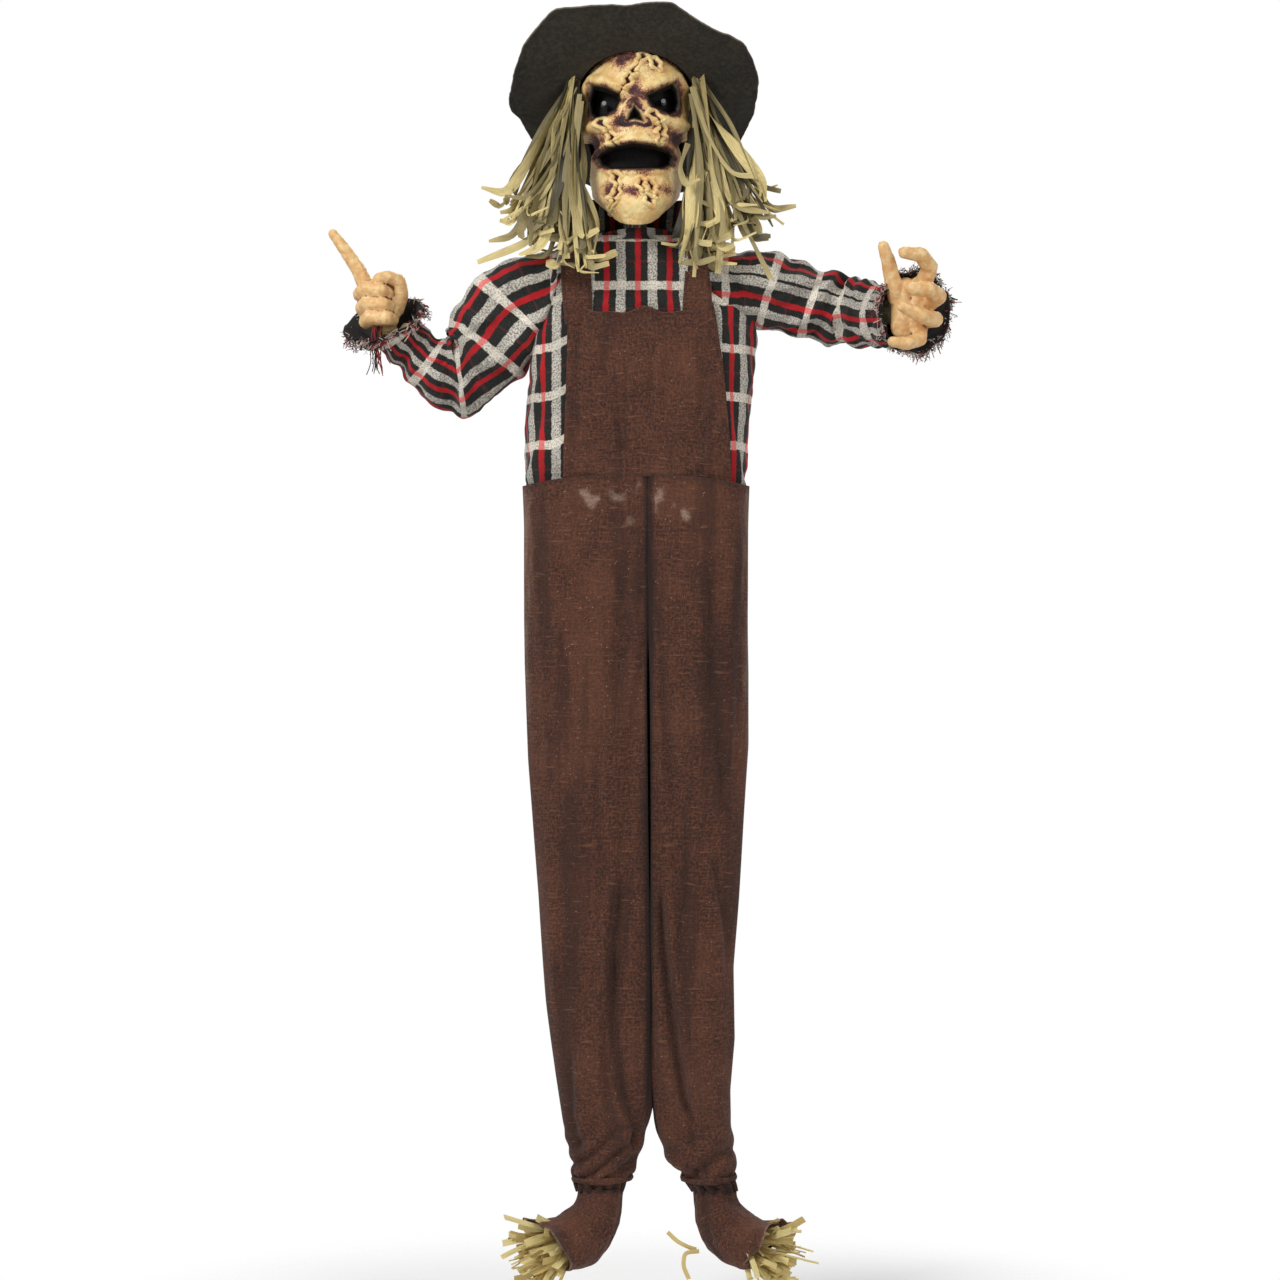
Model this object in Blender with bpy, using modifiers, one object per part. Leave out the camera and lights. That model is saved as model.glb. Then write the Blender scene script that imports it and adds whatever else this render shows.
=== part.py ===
"""A life-size hanging scarecrow prop with lit eyes, in metres.

+Z is up and the figure faces -Y, so its pointing hand is on the -X side. The origin is the point
in the hanging eye where a ceiling hook bears, and the whole figure hangs below it.
"""

import math

import bmesh
import bpy
from mathutils import Matrix, Vector

GAP = 0.0003  # between touching pieces
CLOTH = 0.002  # drawn thickness of a garment
X_AXIS = Vector((1, 0, 0))
Y_AXIS = Vector((0, 1, 0))
Z_AXIS = Vector((0, 0, 1))

# Hanging frame
EYE_INNER = 0.010
EYE_WIRE = 0.002
SHANK_RADIUS = 0.004
SHANK_BOTTOM = -0.060
ROD_RADIUS = 0.008
BORE = ROD_RADIUS + GAP
SHOULDER_Z = -0.360
SHOULDER_X = 0.145
BAR_RADIUS = 0.007
ROD_BOTTOM = SHOULDER_Z + BAR_RADIUS + 0.003

# Head
BUSH_BOTTOM = -0.274
BUSH_FLANGE_Z = -0.217
HAIR_SPLIT_Z = -0.298  # hair above this turns with the head

# Hat, tilted back on the head
HAT_CENTRE = Vector((0, -0.008, -0.130))
HAT_TILT = math.radians(40)
CROWN_HALF = (0.086, 0.104)
CROWN_HEIGHT = 0.070
CROWN_TOP_SCALE = 0.66
BRIM_HALF = (0.172, 0.182)

# Trunk
NECK_Z = -0.312
WAIST_Z = -0.648
HIP_RIM_Z = -0.772
HIP_Z = -0.800
LEG_TOP_Z = -0.790
ARMHOLE = 0.056  # clear of the sleeve round the shoulder's pivot

# Sound and light box, inside the back of the shirt
BOX_SIZE = Vector((0.090, 0.032, 0.120))
BOX_CENTRE = Vector((0, 0.046, -0.500))
BOX_WALL = 0.002
COVER_THICK = 0.0025
DOOR_SIZE = (0.052, 0.062)
DOOR_Z = -0.5245

PARTS = "scarecrow"
CUTTERS = "cutters"

MATERIALS = {
    "steel": ((0.55, 0.56, 0.58), 0.35, 1.0),
    "black_plastic": ((0.03, 0.03, 0.035), 0.45, 0.0),
    "circuit_green": ((0.05, 0.22, 0.09), 0.5, 0.0),
    "battery_case": ((0.10, 0.11, 0.13), 0.35, 0.6),
    "foam": ((0.75, 0.73, 0.66), 0.95, 0.0),
    "plaid": ((0.12, 0.09, 0.08), 0.95, 0.0),
    "burlap": ((0.085, 0.036, 0.024), 0.95, 0.0),
    "mask": ((0.74, 0.50, 0.26), 0.55, 0.0),
    "hand": ((0.75, 0.48, 0.24), 0.55, 0.0),
    "hood": ((0.03, 0.025, 0.022), 0.95, 0.0),
    "gauze": ((0.008, 0.008, 0.008), 0.95, 0.0),
    "led": ((0.8, 0.1, 0.08), 0.2, 0.0),
    "felt": ((0.045, 0.034, 0.026), 0.95, 0.0),
    "raffia": ((0.35, 0.30, 0.16), 0.8, 0.0),
    "straw": ((0.74, 0.60, 0.30), 0.8, 0.0),
}


def collection(name):
    made = bpy.data.collections.new(name)
    bpy.context.scene.collection.children.link(made)
    return made


def make_materials():
    for name, (colour, roughness, metallic) in MATERIALS.items():
        material = bpy.data.materials.new(name)
        material.use_nodes = True
        shader = material.node_tree.nodes["Principled BSDF"]
        shader.inputs["Base Color"].default_value = (*colour, 1)
        shader.inputs["Roughness"].default_value = roughness
        shader.inputs["Metallic"].default_value = metallic
        material.diffuse_color = (*colour, 1)


def new_object(name, mesh, material=None, smooth=False):
    """Adds mesh as a part of the given material, or as a cutter when it has none."""
    obj = bpy.data.objects.new(name, mesh)
    if material:
        bpy.data.collections[PARTS].objects.link(obj)
        own = bpy.data.materials[material].copy()
        own.name = f"{name}_material"
        mesh.materials.append(own)
    else:
        bpy.data.collections[CUTTERS].objects.link(obj)
        obj.hide_render = True
        obj.display_type = "WIRE"
    if smooth:
        mesh.shade_smooth()
        mesh.set_sharp_from_angle(angle=math.radians(40))
    return obj


def loft(name, rings, material=None, closed=True, capped=False, smooth=True):
    """Joins rings of points, each as long as the next, with quads that face outwards."""
    bm = bmesh.new()
    rows = [[bm.verts.new(point) for point in ring] for ring in rings]
    count = len(rows[0])
    for lower, upper in zip(rows, rows[1:]):
        for i in range(count if closed else count - 1):
            j = (i + 1) % count
            bm.faces.new((lower[i], lower[j], upper[j], upper[i]))
    if capped:
        bm.faces.new(rows[0])
        bm.faces.new(rows[-1])
    bmesh.ops.recalc_face_normals(bm, faces=bm.faces)
    mesh = bpy.data.meshes.new(name)
    bm.to_mesh(mesh)
    bm.free()
    return new_object(name, mesh, material, smooth)


def frame_matrix(centre, axis):
    """A matrix that carries +Z to axis, placed at centre."""
    turn = Z_AXIS.rotation_difference(Vector(axis)).to_matrix().to_4x4()
    return Matrix.Translation(Vector(centre)) @ turn


def cylinder(name, radius, start, end, material=None, sides=24, end_radius=None):
    """A cylinder or cone from start to end."""
    start, end = Vector(start), Vector(end)
    bm = bmesh.new()
    bmesh.ops.create_cone(
        bm,
        cap_ends=True,
        segments=sides,
        radius1=radius,
        radius2=radius if end_radius is None else end_radius,
        depth=(end - start).length,
        matrix=frame_matrix((start + end) / 2, end - start),
    )
    mesh = bpy.data.meshes.new(name)
    bm.to_mesh(mesh)
    bm.free()
    return new_object(name, mesh, material, smooth=True)


def block(name, size, centre, material=None, turn=Matrix.Identity(4), bevel=0.0):
    bm = bmesh.new()
    bmesh.ops.create_cube(bm, size=1, matrix=Matrix.Diagonal((*size, 1)))
    bmesh.ops.transform(bm, matrix=Matrix.Translation(Vector(centre)) @ turn, verts=bm.verts)
    mesh = bpy.data.meshes.new(name)
    bm.to_mesh(mesh)
    bm.free()
    obj = new_object(name, mesh, material)
    if bevel:
        rounding = obj.modifiers.new("rounded", "BEVEL")
        rounding.width = bevel
        rounding.segments = 2
    return obj


def cut(obj, *cutters, operation="DIFFERENCE"):
    for cutter in cutters:
        boolean = obj.modifiers.new(cutter.name, "BOOLEAN")
        boolean.operation = operation
        boolean.solver = "EXACT"
        boolean.object = cutter


def thicken(obj, thickness=CLOTH, offset=-1.0):
    """Gives an open surface its thickness, inwards unless told otherwise."""
    solid = obj.modifiers.new("thickness", "SOLIDIFY")
    solid.thickness = thickness
    solid.offset = offset
    solid.use_even_offset = True
    return obj


def wire(name, points, radius, material=None):
    """A round bar along points, as one closed mesh."""
    curve = bpy.data.curves.new(name, "CURVE")
    curve.dimensions = "3D"
    curve.bevel_depth = radius
    curve.bevel_resolution = 2
    curve.use_fill_caps = True
    spline = curve.splines.new("POLY")
    spline.points.add(len(points) - 1)
    for slot, point in zip(spline.points, points):
        slot.co = (*point, 1)
    guide = bpy.data.objects.new(f"{name}_guide", curve)
    bpy.context.scene.collection.objects.link(guide)
    bpy.context.view_layer.update()
    evaluated = guide.evaluated_get(bpy.context.evaluated_depsgraph_get())
    mesh = bpy.data.meshes.new_from_object(evaluated)
    bpy.data.objects.remove(guide)
    bm = bmesh.new()
    bm.from_mesh(mesh)
    bmesh.ops.remove_doubles(bm, verts=bm.verts, dist=0.00001)
    bmesh.ops.recalc_face_normals(bm, faces=bm.faces)
    bm.to_mesh(mesh)
    bm.free()
    mesh.name = name
    return new_object(name, mesh, material, smooth=True)


def oval(cx, cy, z, half_x, half_y, power=2.6, sides=24):
    """A level superellipse."""
    ring = []
    for i in range(sides):
        angle = math.tau * i / sides
        c, s = math.cos(angle), math.sin(angle)
        x = cx + half_x * math.copysign(abs(c) ** (2 / power), c)
        y = cy + half_y * math.copysign(abs(s) ** (2 / power), s)
        ring.append(Vector((x, y, z)))
    return ring


def half_oval(half_x, y_edge, y_far, z_edge, z_far, power=2.4, steps=16):
    """Half of a superellipse from -X round y_far to +X, tilted from z_edge to z_far."""
    ring = []
    for i in range(steps + 1):
        angle = math.pi * i / steps
        c, s = math.cos(angle), math.sin(angle)
        x = -half_x * math.copysign(abs(c) ** (2 / power), c)
        share = abs(s) ** (2 / power)
        ring.append(Vector((x, y_edge + (y_far - y_edge) * share, z_edge + (z_far - z_edge) * share)))
    return ring


def round_ring(centre, axis, radius, sides=20, flat=1.0):
    """A circle round axis, squeezed by flat across Y."""
    across = axis.cross(Y_AXIS).normalized()
    other = axis.cross(across).normalized()
    ring = []
    for i in range(sides):
        angle = math.tau * i / sides
        ring.append(centre + across * radius * math.cos(angle) + other * radius * flat * math.sin(angle))
    return ring


# ---------------------------------------------------------------- hanging frame


def hanging_eye():
    """A ring in the XZ plane with a shank: the hook passes through it along Y."""
    middle = Vector((0, 0, -EYE_INNER))
    reach = EYE_INNER + EYE_WIRE
    bpy.ops.mesh.primitive_torus_add(
        major_segments=24,
        minor_segments=8,
        major_radius=reach,
        minor_radius=EYE_WIRE,
        location=middle,
        rotation=(math.pi / 2, 0, 0),
    )
    ring = bpy.context.object
    ring.name = "hanging_eye"
    ring.data.materials.append(bpy.data.materials["steel"])
    bpy.context.collection.objects.unlink(ring)
    bpy.data.collections[PARTS].objects.link(ring)
    ring.data.shade_smooth()
    shank_top = middle - Z_AXIS * reach
    shank = cylinder("eye_shank", SHANK_RADIUS, (0, 0, SHANK_BOTTOM), shank_top, sides=12)
    cut(ring, shank, operation="UNION")


def hanging_frame():
    hanging_eye()
    cylinder("hanging_rod", ROD_RADIUS, (0, 0, ROD_BOTTOM), (0, 0, SHANK_BOTTOM - GAP), "steel")
    low, high = BUSH_BOTTOM - 0.0095, BUSH_BOTTOM - 0.0005
    collar = cylinder("thrust_collar", 0.014, (0, 0, low), (0, 0, high), "steel")
    bore = cylinder("collar_bore", BORE, (0, 0, -0.30), (0, 0, -0.25))
    cut(collar, bore)
    tee = block("shoulder_tee", (0.036, 0.032, 0.040), (0, 0, SHOULDER_Z + 0.006), "steel", bevel=0.003)
    socket = cylinder("tee_socket", BORE, (0, 0, ROD_BOTTOM - GAP), (0, 0, -0.30))
    through = cylinder("tee_bore", BAR_RADIUS + GAP, (-0.05, 0, SHOULDER_Z), (0.05, 0, SHOULDER_Z))
    cut(tee, socket, through)
    reach = SHOULDER_X - 0.004
    cylinder("shoulder_bar", BAR_RADIUS, (-reach, 0, SHOULDER_Z), (reach, 0, SHOULDER_Z), "steel")


# ---------------------------------------------------------------- trunk

# Height, half width and half depth of the shirt, from the neck to the waist.
SHIRT_RINGS = (
    (NECK_Z, 0.066, 0.046),
    (-0.316, 0.092, 0.052),
    (-0.345, 0.090, 0.056),
    (-0.390, 0.098, 0.062),
    (-0.420, 0.113, 0.067),
    (-0.450, 0.127, 0.070),
    (-0.480, 0.139, 0.072),
    (-0.520, 0.148, 0.073),
    (-0.580, 0.154, 0.073),
    (WAIST_Z, 0.152, 0.070),
)


# Height and radius of the shirt's collar.
COLLAR_RINGS = (
    (-0.311, 0.056),
    (-0.295, 0.055),
    (-0.279, 0.053),
)


def shirt():
    rings = [oval(0, 0, z, half_x, half_y, power=3.0) for z, half_x, half_y in SHIRT_RINGS]
    body = thicken(loft("shirt_body", rings, "plaid"))
    for side, sign in (("left", -1), ("right", 1)):
        pivot = Vector((sign * SHOULDER_X, 0, SHOULDER_Z))
        hole = cylinder(f"armhole_{side}", ARMHOLE, pivot - Y_AXIS * 0.1, pivot + Y_AXIS * 0.1)
        way = cylinder(f"arm_way_{side}", 0.034, pivot - X_AXIS * sign * 0.075, pivot, sides=16)
        cut(body, hole, way)
    opening = block("back_opening", (0.100, 0.060, 0.136), (0, 0.078, -0.500))
    cut(body, opening)
    collar = [oval(0, 0, z, radius, radius, power=2, sides=24) for z, radius in COLLAR_RINGS]
    thicken(loft("shirt_collar", collar, "plaid"))


# Height, left edge and right edge of the bib.
BIB_EDGES = (
    (-0.410, -0.090, 0.103),
    (-0.500, -0.092, 0.118),
    (-0.580, -0.094, 0.126),
    (-0.642, -0.097, 0.127),
)


def overalls():
    bib_rings = []
    for z, low, high in BIB_EDGES:
        bib_rings.append([Vector((low + (high - low) * i / 8, -0.0775, z)) for i in range(9)])
    bib = loft("bib", bib_rings, "burlap", closed=False)
    thicken(bib, offset=0.0)
    for side, centre in (("left", -0.0795), ("right", 0.0860)):
        strap(f"strap_{side}", centre)
    hips = [oval(0, 0, z, x, y, power=2.8, sides=32) for z, x, y in (
        (WAIST_Z - 0.0015, 0.153, 0.071),
        (-0.700, 0.150, 0.068),
        (HIP_RIM_Z, 0.156, 0.062),
    )]
    thicken(loft("trousers_hips", hips, "burlap"))


def strap(name, centre):
    """A flat strap from the bib's top over the shoulder and down the back to the waist."""
    side = [
        (-0.0775, -0.408),
        (-0.0725, -0.370),
        (-0.0660, -0.335),
        (-0.0560, -0.312),
        (-0.0300, -0.3055),
        (0.0300, -0.3055),
        (0.0580, -0.312),
        (0.0670, -0.345),
        (0.0760, -0.410),
        (0.0800, -0.500),
        (0.0800, -0.640),
    ]
    inner = 0.018 if centre < 0 else -0.018
    rings = [[Vector((centre + inner * end, y, z)) for end in (-1, 0, 1)] for y, z in side]
    thicken(loft(name, rings, "burlap", closed=False), offset=0.0)


def chest_padding():
    """Stuffing in front of the sound box, below the shoulder bar."""
    rings = [oval(0, -0.020, z, x, y, power=3, sides=20) for z, x, y in (
        (-0.385, 0.060, 0.030),
        (-0.430, 0.095, 0.042),
        (-0.520, 0.125, 0.043),
        (-0.600, 0.130, 0.043),
        (-0.635, 0.110, 0.035),
    )]
    loft("chest_padding", rings, "foam", capped=True)


def sound_box():
    """The open case, its cover with a battery door, and what they hold."""
    outer = block("control_box_case", BOX_SIZE, BOX_CENTRE, "black_plastic")
    inner_size = BOX_SIZE - Vector((2 * BOX_WALL, 0, 2 * BOX_WALL))
    cut(outer, block("case_room", inner_size, BOX_CENTRE + Y_AXIS * BOX_WALL))
    back = BOX_CENTRE.y + BOX_SIZE.y / 2
    cover_y = back + GAP + COVER_THICK / 2
    cover_size = (BOX_SIZE.x, COVER_THICK, BOX_SIZE.z)
    cover = block("control_box_cover", cover_size, (0, cover_y, BOX_CENTRE.z), "black_plastic")
    door_hole = block("door_hole", (DOOR_SIZE[0] + 0.001, 0.01, DOOR_SIZE[1] + 0.001), (0, cover_y, DOOR_Z))
    switch_slot = block("switch_slot", (0.0125, 0.01, 0.0050), (0.028, cover_y, -0.4480))
    cut(cover, door_hole, switch_slot)
    for row in range(3):
        for column in range(4):
            place = Vector((-0.030 + 0.008 * column, cover_y, -0.452 - 0.008 * row))
            hole = cylinder(
                f"sound_hole_{row}_{column}", 0.002, place - Y_AXIS * 0.005, place + Y_AXIS * 0.005, sides=6
            )
            cut(cover, hole)
    x, z = -0.018, -0.460
    magnet = cylinder("speaker_magnet", 0.010, (x, 0.046, z), (x, 0.056, z), sides=20)
    speaker = cylinder("speaker", 0.012, (x, 0.0555, z), (x, 0.0615, z), "black_plastic", 24, 0.0175)
    cut(speaker, magnet, operation="UNION")
    block("circuit_board", (0.078, 0.0016, 0.044), (0, 0.0400, -0.466), "circuit_green")
    for i in range(3):
        x = (i - 1) * 0.0152
        cylinder(f"battery_{i + 1}", 0.0070, (x, 0.0500, -0.5505), (x, 0.0500, -0.5005), "battery_case", 16)
    door_block = (DOOR_SIZE[0], COVER_THICK, DOOR_SIZE[1])
    door = block("battery_door", door_block, (0, cover_y, DOOR_Z), "black_plastic")
    screw_z = DOOR_Z - DOOR_SIZE[1] / 2 + 0.006
    cut(door, cylinder("door_screw_hole", 0.0016, (0, 0.05, screw_z), (0, 0.08, screw_z), sides=12))
    face = cover_y + COVER_THICK / 2
    head_low, head_high = (0, face + GAP, screw_z), (0, face + 0.0018, screw_z)
    screw = cylinder("door_screw", 0.0030, head_low, head_high, "steel", 16)
    shank_low, shank_high = (0, face - 0.0030, screw_z), (0, face + 0.001, screw_z)
    cut(screw, cylinder("screw_shank", 0.0012, shank_low, shank_high, sides=12), operation="UNION")
    cut(screw, block("screw_slot", (0.0070, 0.0012, 0.0008), (0, face + 0.0018, screw_z)))
    block("power_switch", (0.0055, 0.0080, 0.0042), (0.0250, cover_y + 0.0010, -0.4480), "black_plastic")


def hair_tips():
    """The ends of the straw hair, lying on the front of each shoulder."""
    for side, sign in (("left", -1), ("right", 1)):
        rings = []
        for z, middle, half_x, y, half_y in (
            (HAIR_SPLIT_Z - 0.006, 0.104, 0.034, -0.088, 0.008),
            (-0.340, 0.106, 0.040, -0.092, 0.010),
            (-0.378, 0.094, 0.028, -0.096, 0.008),
        ):
            rings.append(oval(sign * middle, y, z, half_x, half_y, power=3, sides=12))
        loft(f"hair_tips_{side}", rings, "raffia", capped=True)


# ---------------------------------------------------------------- head

# Rear height, front height, half width and front reach of the mask, from forehead to chin.
MASK_RINGS = (
    (-0.064, -0.066, 0.046, -0.078),
    (-0.084, -0.090, 0.064, -0.092),
    (-0.112, -0.118, 0.074, -0.098),
    (-0.145, -0.150, 0.076, -0.102),
    (-0.166, -0.174, 0.071, -0.104),
    (-0.182, -0.196, 0.060, -0.104),
    (-0.205, -0.228, 0.057, -0.103),
    (-0.225, -0.256, 0.056, -0.108),
    (-0.238, -0.280, 0.040, -0.109),
    (-0.244, -0.300, 0.020, -0.100),
)
# Side height, rear height, half width and rear reach of the back of the head.
HOOD_RINGS = (
    (-0.072, -0.087, 0.044, 0.028),
    (-0.097, -0.112, 0.064, 0.048),
    (-0.147, -0.152, 0.072, 0.056),
    (-0.192, -0.192, 0.060, 0.050),
    (-0.222, -0.222, 0.055, 0.046),
    (-0.238, -0.250, 0.040, 0.040),
)
EYE_LEFT = Vector((-0.0430, -0.066, -0.1340))
EYE_RIGHT = Vector((0.0370, -0.066, -0.1310))


# Height and half width of the net behind the mask.
GAUZE_RINGS = (
    (-0.095, 0.050),
    (-0.160, 0.058),
    (-0.230, 0.046),
)


def face():
    rings = [half_oval(half_x, -0.004, reach, rear, front) for rear, front, half_x, reach in MASK_RINGS]
    mask = thicken(loft("face_mask", rings, "mask", closed=False))
    holes = []
    for side, sign, centre in (("left", -1, EYE_LEFT), ("right", 1, EYE_RIGHT)):
        lean = Matrix.Rotation(sign * math.radians(-16), 4, "Y")
        socket = block(f"eye_hole_{side}", (0.036, 0.10, 0.024), centre, turn=lean, bevel=0.006)
        holes.append(socket)
    holes.append(cylinder("nose_hole", 0.013, (-0.001, -0.14, -0.155), (-0.001, -0.05, -0.155), sides=3))
    holes.append(block("mouth_hole", (0.096, 0.12, 0.030), (-0.001, -0.10, -0.2100), bevel=0.010))
    cut(mask, *holes)
    hood = [half_oval(half_x, -0.003, reach, side, rear) for side, rear, half_x, reach in HOOD_RINGS]
    thicken(loft("head_back", hood, "hood", closed=False))
    gauze = [half_oval(half_x, -0.008, -0.066, z, z) for z, half_x in GAUZE_RINGS]
    thicken(loft("face_gauze", gauze, "gauze", closed=False), thickness=0.001)
    for side, centre in (("left", EYE_LEFT), ("right", EYE_RIGHT)):
        base, tip = centre + Y_AXIS * 0.005, centre - Y_AXIS * 0.012
        cylinder(f"eye_led_{side}", 0.0045, base, tip, "led", 12, 0.0030)


def neck_bush():
    """A hub with a flange that carries the head on the rod."""
    bush = cylinder("neck_bush", 0.014, (0, 0, BUSH_BOTTOM), (0, 0, BUSH_FLANGE_Z), "black_plastic")
    low, high = BUSH_FLANGE_Z - 0.004, BUSH_FLANGE_Z + 0.001
    flange = cylinder("bush_flange", 0.036, (0, 0, low), (0, 0, high), sides=32)
    cut(bush, flange, operation="UNION")
    cut(bush, cylinder("bush_bore", BORE, (0, 0, -0.28), (0, 0, -0.18)))


def hat_point(x, along, up):
    """A point in the hat's own frame: along is towards its front, up is out of its crown."""
    front = Vector((0, -math.cos(HAT_TILT), math.sin(HAT_TILT)))
    top = Vector((0, math.sin(HAT_TILT), math.cos(HAT_TILT)))
    return HAT_CENTRE + X_AXIS * x + front * along + top * up


def hat_ring(half_x, half_along, up, power=2.0, wave=0.0, sides=28):
    ring = []
    for i in range(sides):
        angle = math.tau * i / sides
        s, c = math.sin(angle), math.cos(angle)
        x = half_x * math.copysign(abs(s) ** (2 / power), s)
        along = half_along * math.copysign(abs(c) ** (2 / power), c)
        ring.append(hat_point(x, along, up + wave * math.cos(3 * angle + 0.6)))
    return ring


def hat():
    steps = ((0.0, 1.0), (0.7, 0.90), (0.94, 0.78), (1.0, CROWN_TOP_SCALE), (1.0, 0.06))
    rings = []
    for height, scale in steps:
        rings.append(hat_ring(CROWN_HALF[0] * scale, CROWN_HALF[1] * scale, CROWN_HEIGHT * height))
    crown = loft("hat_crown", rings, "felt")
    thicken(crown)
    cut(crown, cylinder("rod_way", 0.014, (0, 0, -0.10), (0, 0, 0.05)))
    brim = []
    for share, up in ((0.0, 0.0), (0.5, -0.001), (1.0, -0.004)):
        half_x = CROWN_HALF[0] + 0.001 + (BRIM_HALF[0] - CROWN_HALF[0]) * share
        half_along = CROWN_HALF[1] + 0.001 + (BRIM_HALF[1] - CROWN_HALF[1]) * share
        brim.append(hat_ring(half_x, half_along, up, power=2.0 + 0.5 * share, wave=0.008 * share))
    thicken(loft("hat_brim", brim, "felt"), offset=0.0)


def hair():
    for side, sign in (("left", -1), ("right", 1)):
        rings = []
        for z, middle, half_x, y, half_y in (
            (-0.158, 0.097, 0.014, -0.036, 0.038),
            (-0.200, 0.102, 0.026, -0.040, 0.044),
            (-0.250, 0.107, 0.036, -0.044, 0.042),
            (HAIR_SPLIT_Z, 0.110, 0.038, -0.054, 0.038),
        ):
            rings.append(oval(sign * middle, y, z, half_x, half_y, power=3, sides=16))
        loft(f"hair_{side}", rings, "raffia", capped=True)


# ---------------------------------------------------------------- arms


class Arm:
    """Where one arm's joints are and how far its sleeve is from its middle line."""

    def __init__(self, side, sign, upper, fore, flex_limit):
        """upper and fore are each a direction, a length and the sleeve's radii along it."""
        self.side = side
        self.shoulder = Vector((sign * SHOULDER_X, 0, SHOULDER_Z))
        self.upper = Vector(upper[0]).normalized()
        self.fore = Vector(fore[0]).normalized()
        self.elbow = self.shoulder + self.upper * upper[1]
        self.wrist = self.elbow + self.fore * fore[1]
        self.upper_radii = upper[2]
        self.fore_radii = fore[2]
        self.hinge = self.upper.cross(self.fore).normalized()
        self.flex_limit = math.radians(flex_limit)


LEFT_UPPER = ((-0.5985, 0, -0.801), 0.170, (0.049, 0.049, 0.043))
LEFT_FORE = ((-0.79, -0.10, 0.60), 0.122, (0.041, 0.035, 0.040))
RIGHT_UPPER = ((0.961, 0, -0.276), 0.150, (0.050, 0.051, 0.046))
RIGHT_FORE = ((0.688, -0.716, -0.119), 0.124, (0.044, 0.043, 0.050))
ARMS = (
    Arm("left", -1, LEFT_UPPER, LEFT_FORE, 102),
    Arm("right", 1, RIGHT_UPPER, RIGHT_FORE, 102),
)


def elbow_cutters(arm, part, along, towards):
    """Blocks that end a sleeve at the elbow: square across it, and mitred for the sharpest bend."""
    half = 0.10
    square_turn = Z_AXIS.rotation_difference(towards).to_matrix().to_4x4()
    square_place = arm.elbow + towards * (half - 0.001)
    square_name = f"elbow_square_{part}_{arm.side}"
    square = block(square_name, (0.2, 0.2, 2 * half), square_place, turn=square_turn)
    mitre_dir = Matrix.Rotation(along, 3, arm.hinge) @ towards
    mitre_turn = Z_AXIS.rotation_difference(mitre_dir).to_matrix().to_4x4()
    mitre_place = arm.elbow + mitre_dir * (half - 0.001)
    mitre_name = f"elbow_mitre_{part}_{arm.side}"
    mitre = block(mitre_name, (0.3, 0.3, 2 * half), mitre_place, turn=mitre_turn)
    return square, mitre


def sleeve(name, start, end, radii, sides=20):
    axis = (end - start).normalized()
    rings = []
    for i, radius in enumerate(radii):
        rings.append(round_ring(start.lerp(end, i / (len(radii) - 1)), axis, radius, sides))
    return thicken(loft(name, rings, "plaid"))


def arm_pieces(arm):
    side = arm.side
    past = 0.030
    start, end = arm.shoulder + arm.upper * 0.002, arm.elbow + arm.upper * past
    upper = sleeve(f"sleeve_upper_{side}", start, end, arm.upper_radii)
    cut(upper, *elbow_cutters(arm, "upper", arm.flex_limit / 2, arm.upper))
    fore = sleeve(f"sleeve_lower_{side}", arm.elbow - arm.fore * past, arm.wrist, arm.fore_radii)
    cut(fore, *elbow_cutters(arm, "fore", -arm.flex_limit / 2, -arm.fore))
    upper_ends = (arm.shoulder + arm.upper * 0.006, arm.elbow - arm.upper * 0.004)
    wire(f"arm_wire_upper_{side}", upper_ends, 0.0025, "steel")
    fore_ends = (arm.elbow + arm.fore * 0.004, arm.wrist - arm.fore * 0.016)
    wire(f"arm_wire_lower_{side}", fore_ends, 0.0025, "steel")
    upper_stop = arm.elbow - arm.upper * 0.048
    padding(f"arm_padding_upper_{side}", arm.shoulder, arm.upper, 0.030, upper_stop, 0.024)
    fore_stop = arm.wrist - arm.fore * 0.022
    padding(f"arm_padding_lower_{side}", arm.elbow, arm.fore, 0.044, fore_stop, 0.020)
    lining_start = arm.wrist - arm.fore * 0.030
    lining_end = arm.wrist - arm.fore * 0.001
    reach = arm.fore_radii[2] - CLOTH
    rings = []
    for share in (0.0, 1.0):
        centre = lining_start.lerp(lining_end, share)
        rings.append(round_ring(centre, arm.fore, reach - 0.004 + 0.002 * share, 20))
    thicken(loft(f"cuff_lining_{side}", rings, "hood"), thickness=0.0015)


def padding(name, start, axis, clear, end, radius):
    """A soft roll round the wire."""
    first = start + axis * clear
    rings = []
    for share, scale in ((0.0, 0.7), (0.12, 1.0), (0.88, 1.0), (1.0, 0.7)):
        rings.append(round_ring(first.lerp(end, share), axis, radius * scale, 12))
    roll = loft(name, rings, "foam", capped=True)
    cut(roll, cylinder(f"{name}_bore", 0.0029, first - axis * 0.01, end + axis * 0.01, sides=12))


def finger(name, points, radius, palm, base=Vector()):
    """Adds one bent finger to the palm. Its points are measured from the base."""
    digit = wire(name, [base + Vector(point) for point in points], radius)
    cut(palm, digit, operation="UNION")


# The right hand's fingers: name, height of the knuckle, rise to the tip and reach of the tip.
RIGHT_FINGERS = (
    ("index", 0.024, 0.030, -0.030),
    ("middle", 0.010, 0.006, -0.040),
    ("ring", -0.008, -0.002, -0.044),
    ("little", -0.024, -0.016, -0.034),
)


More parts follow.
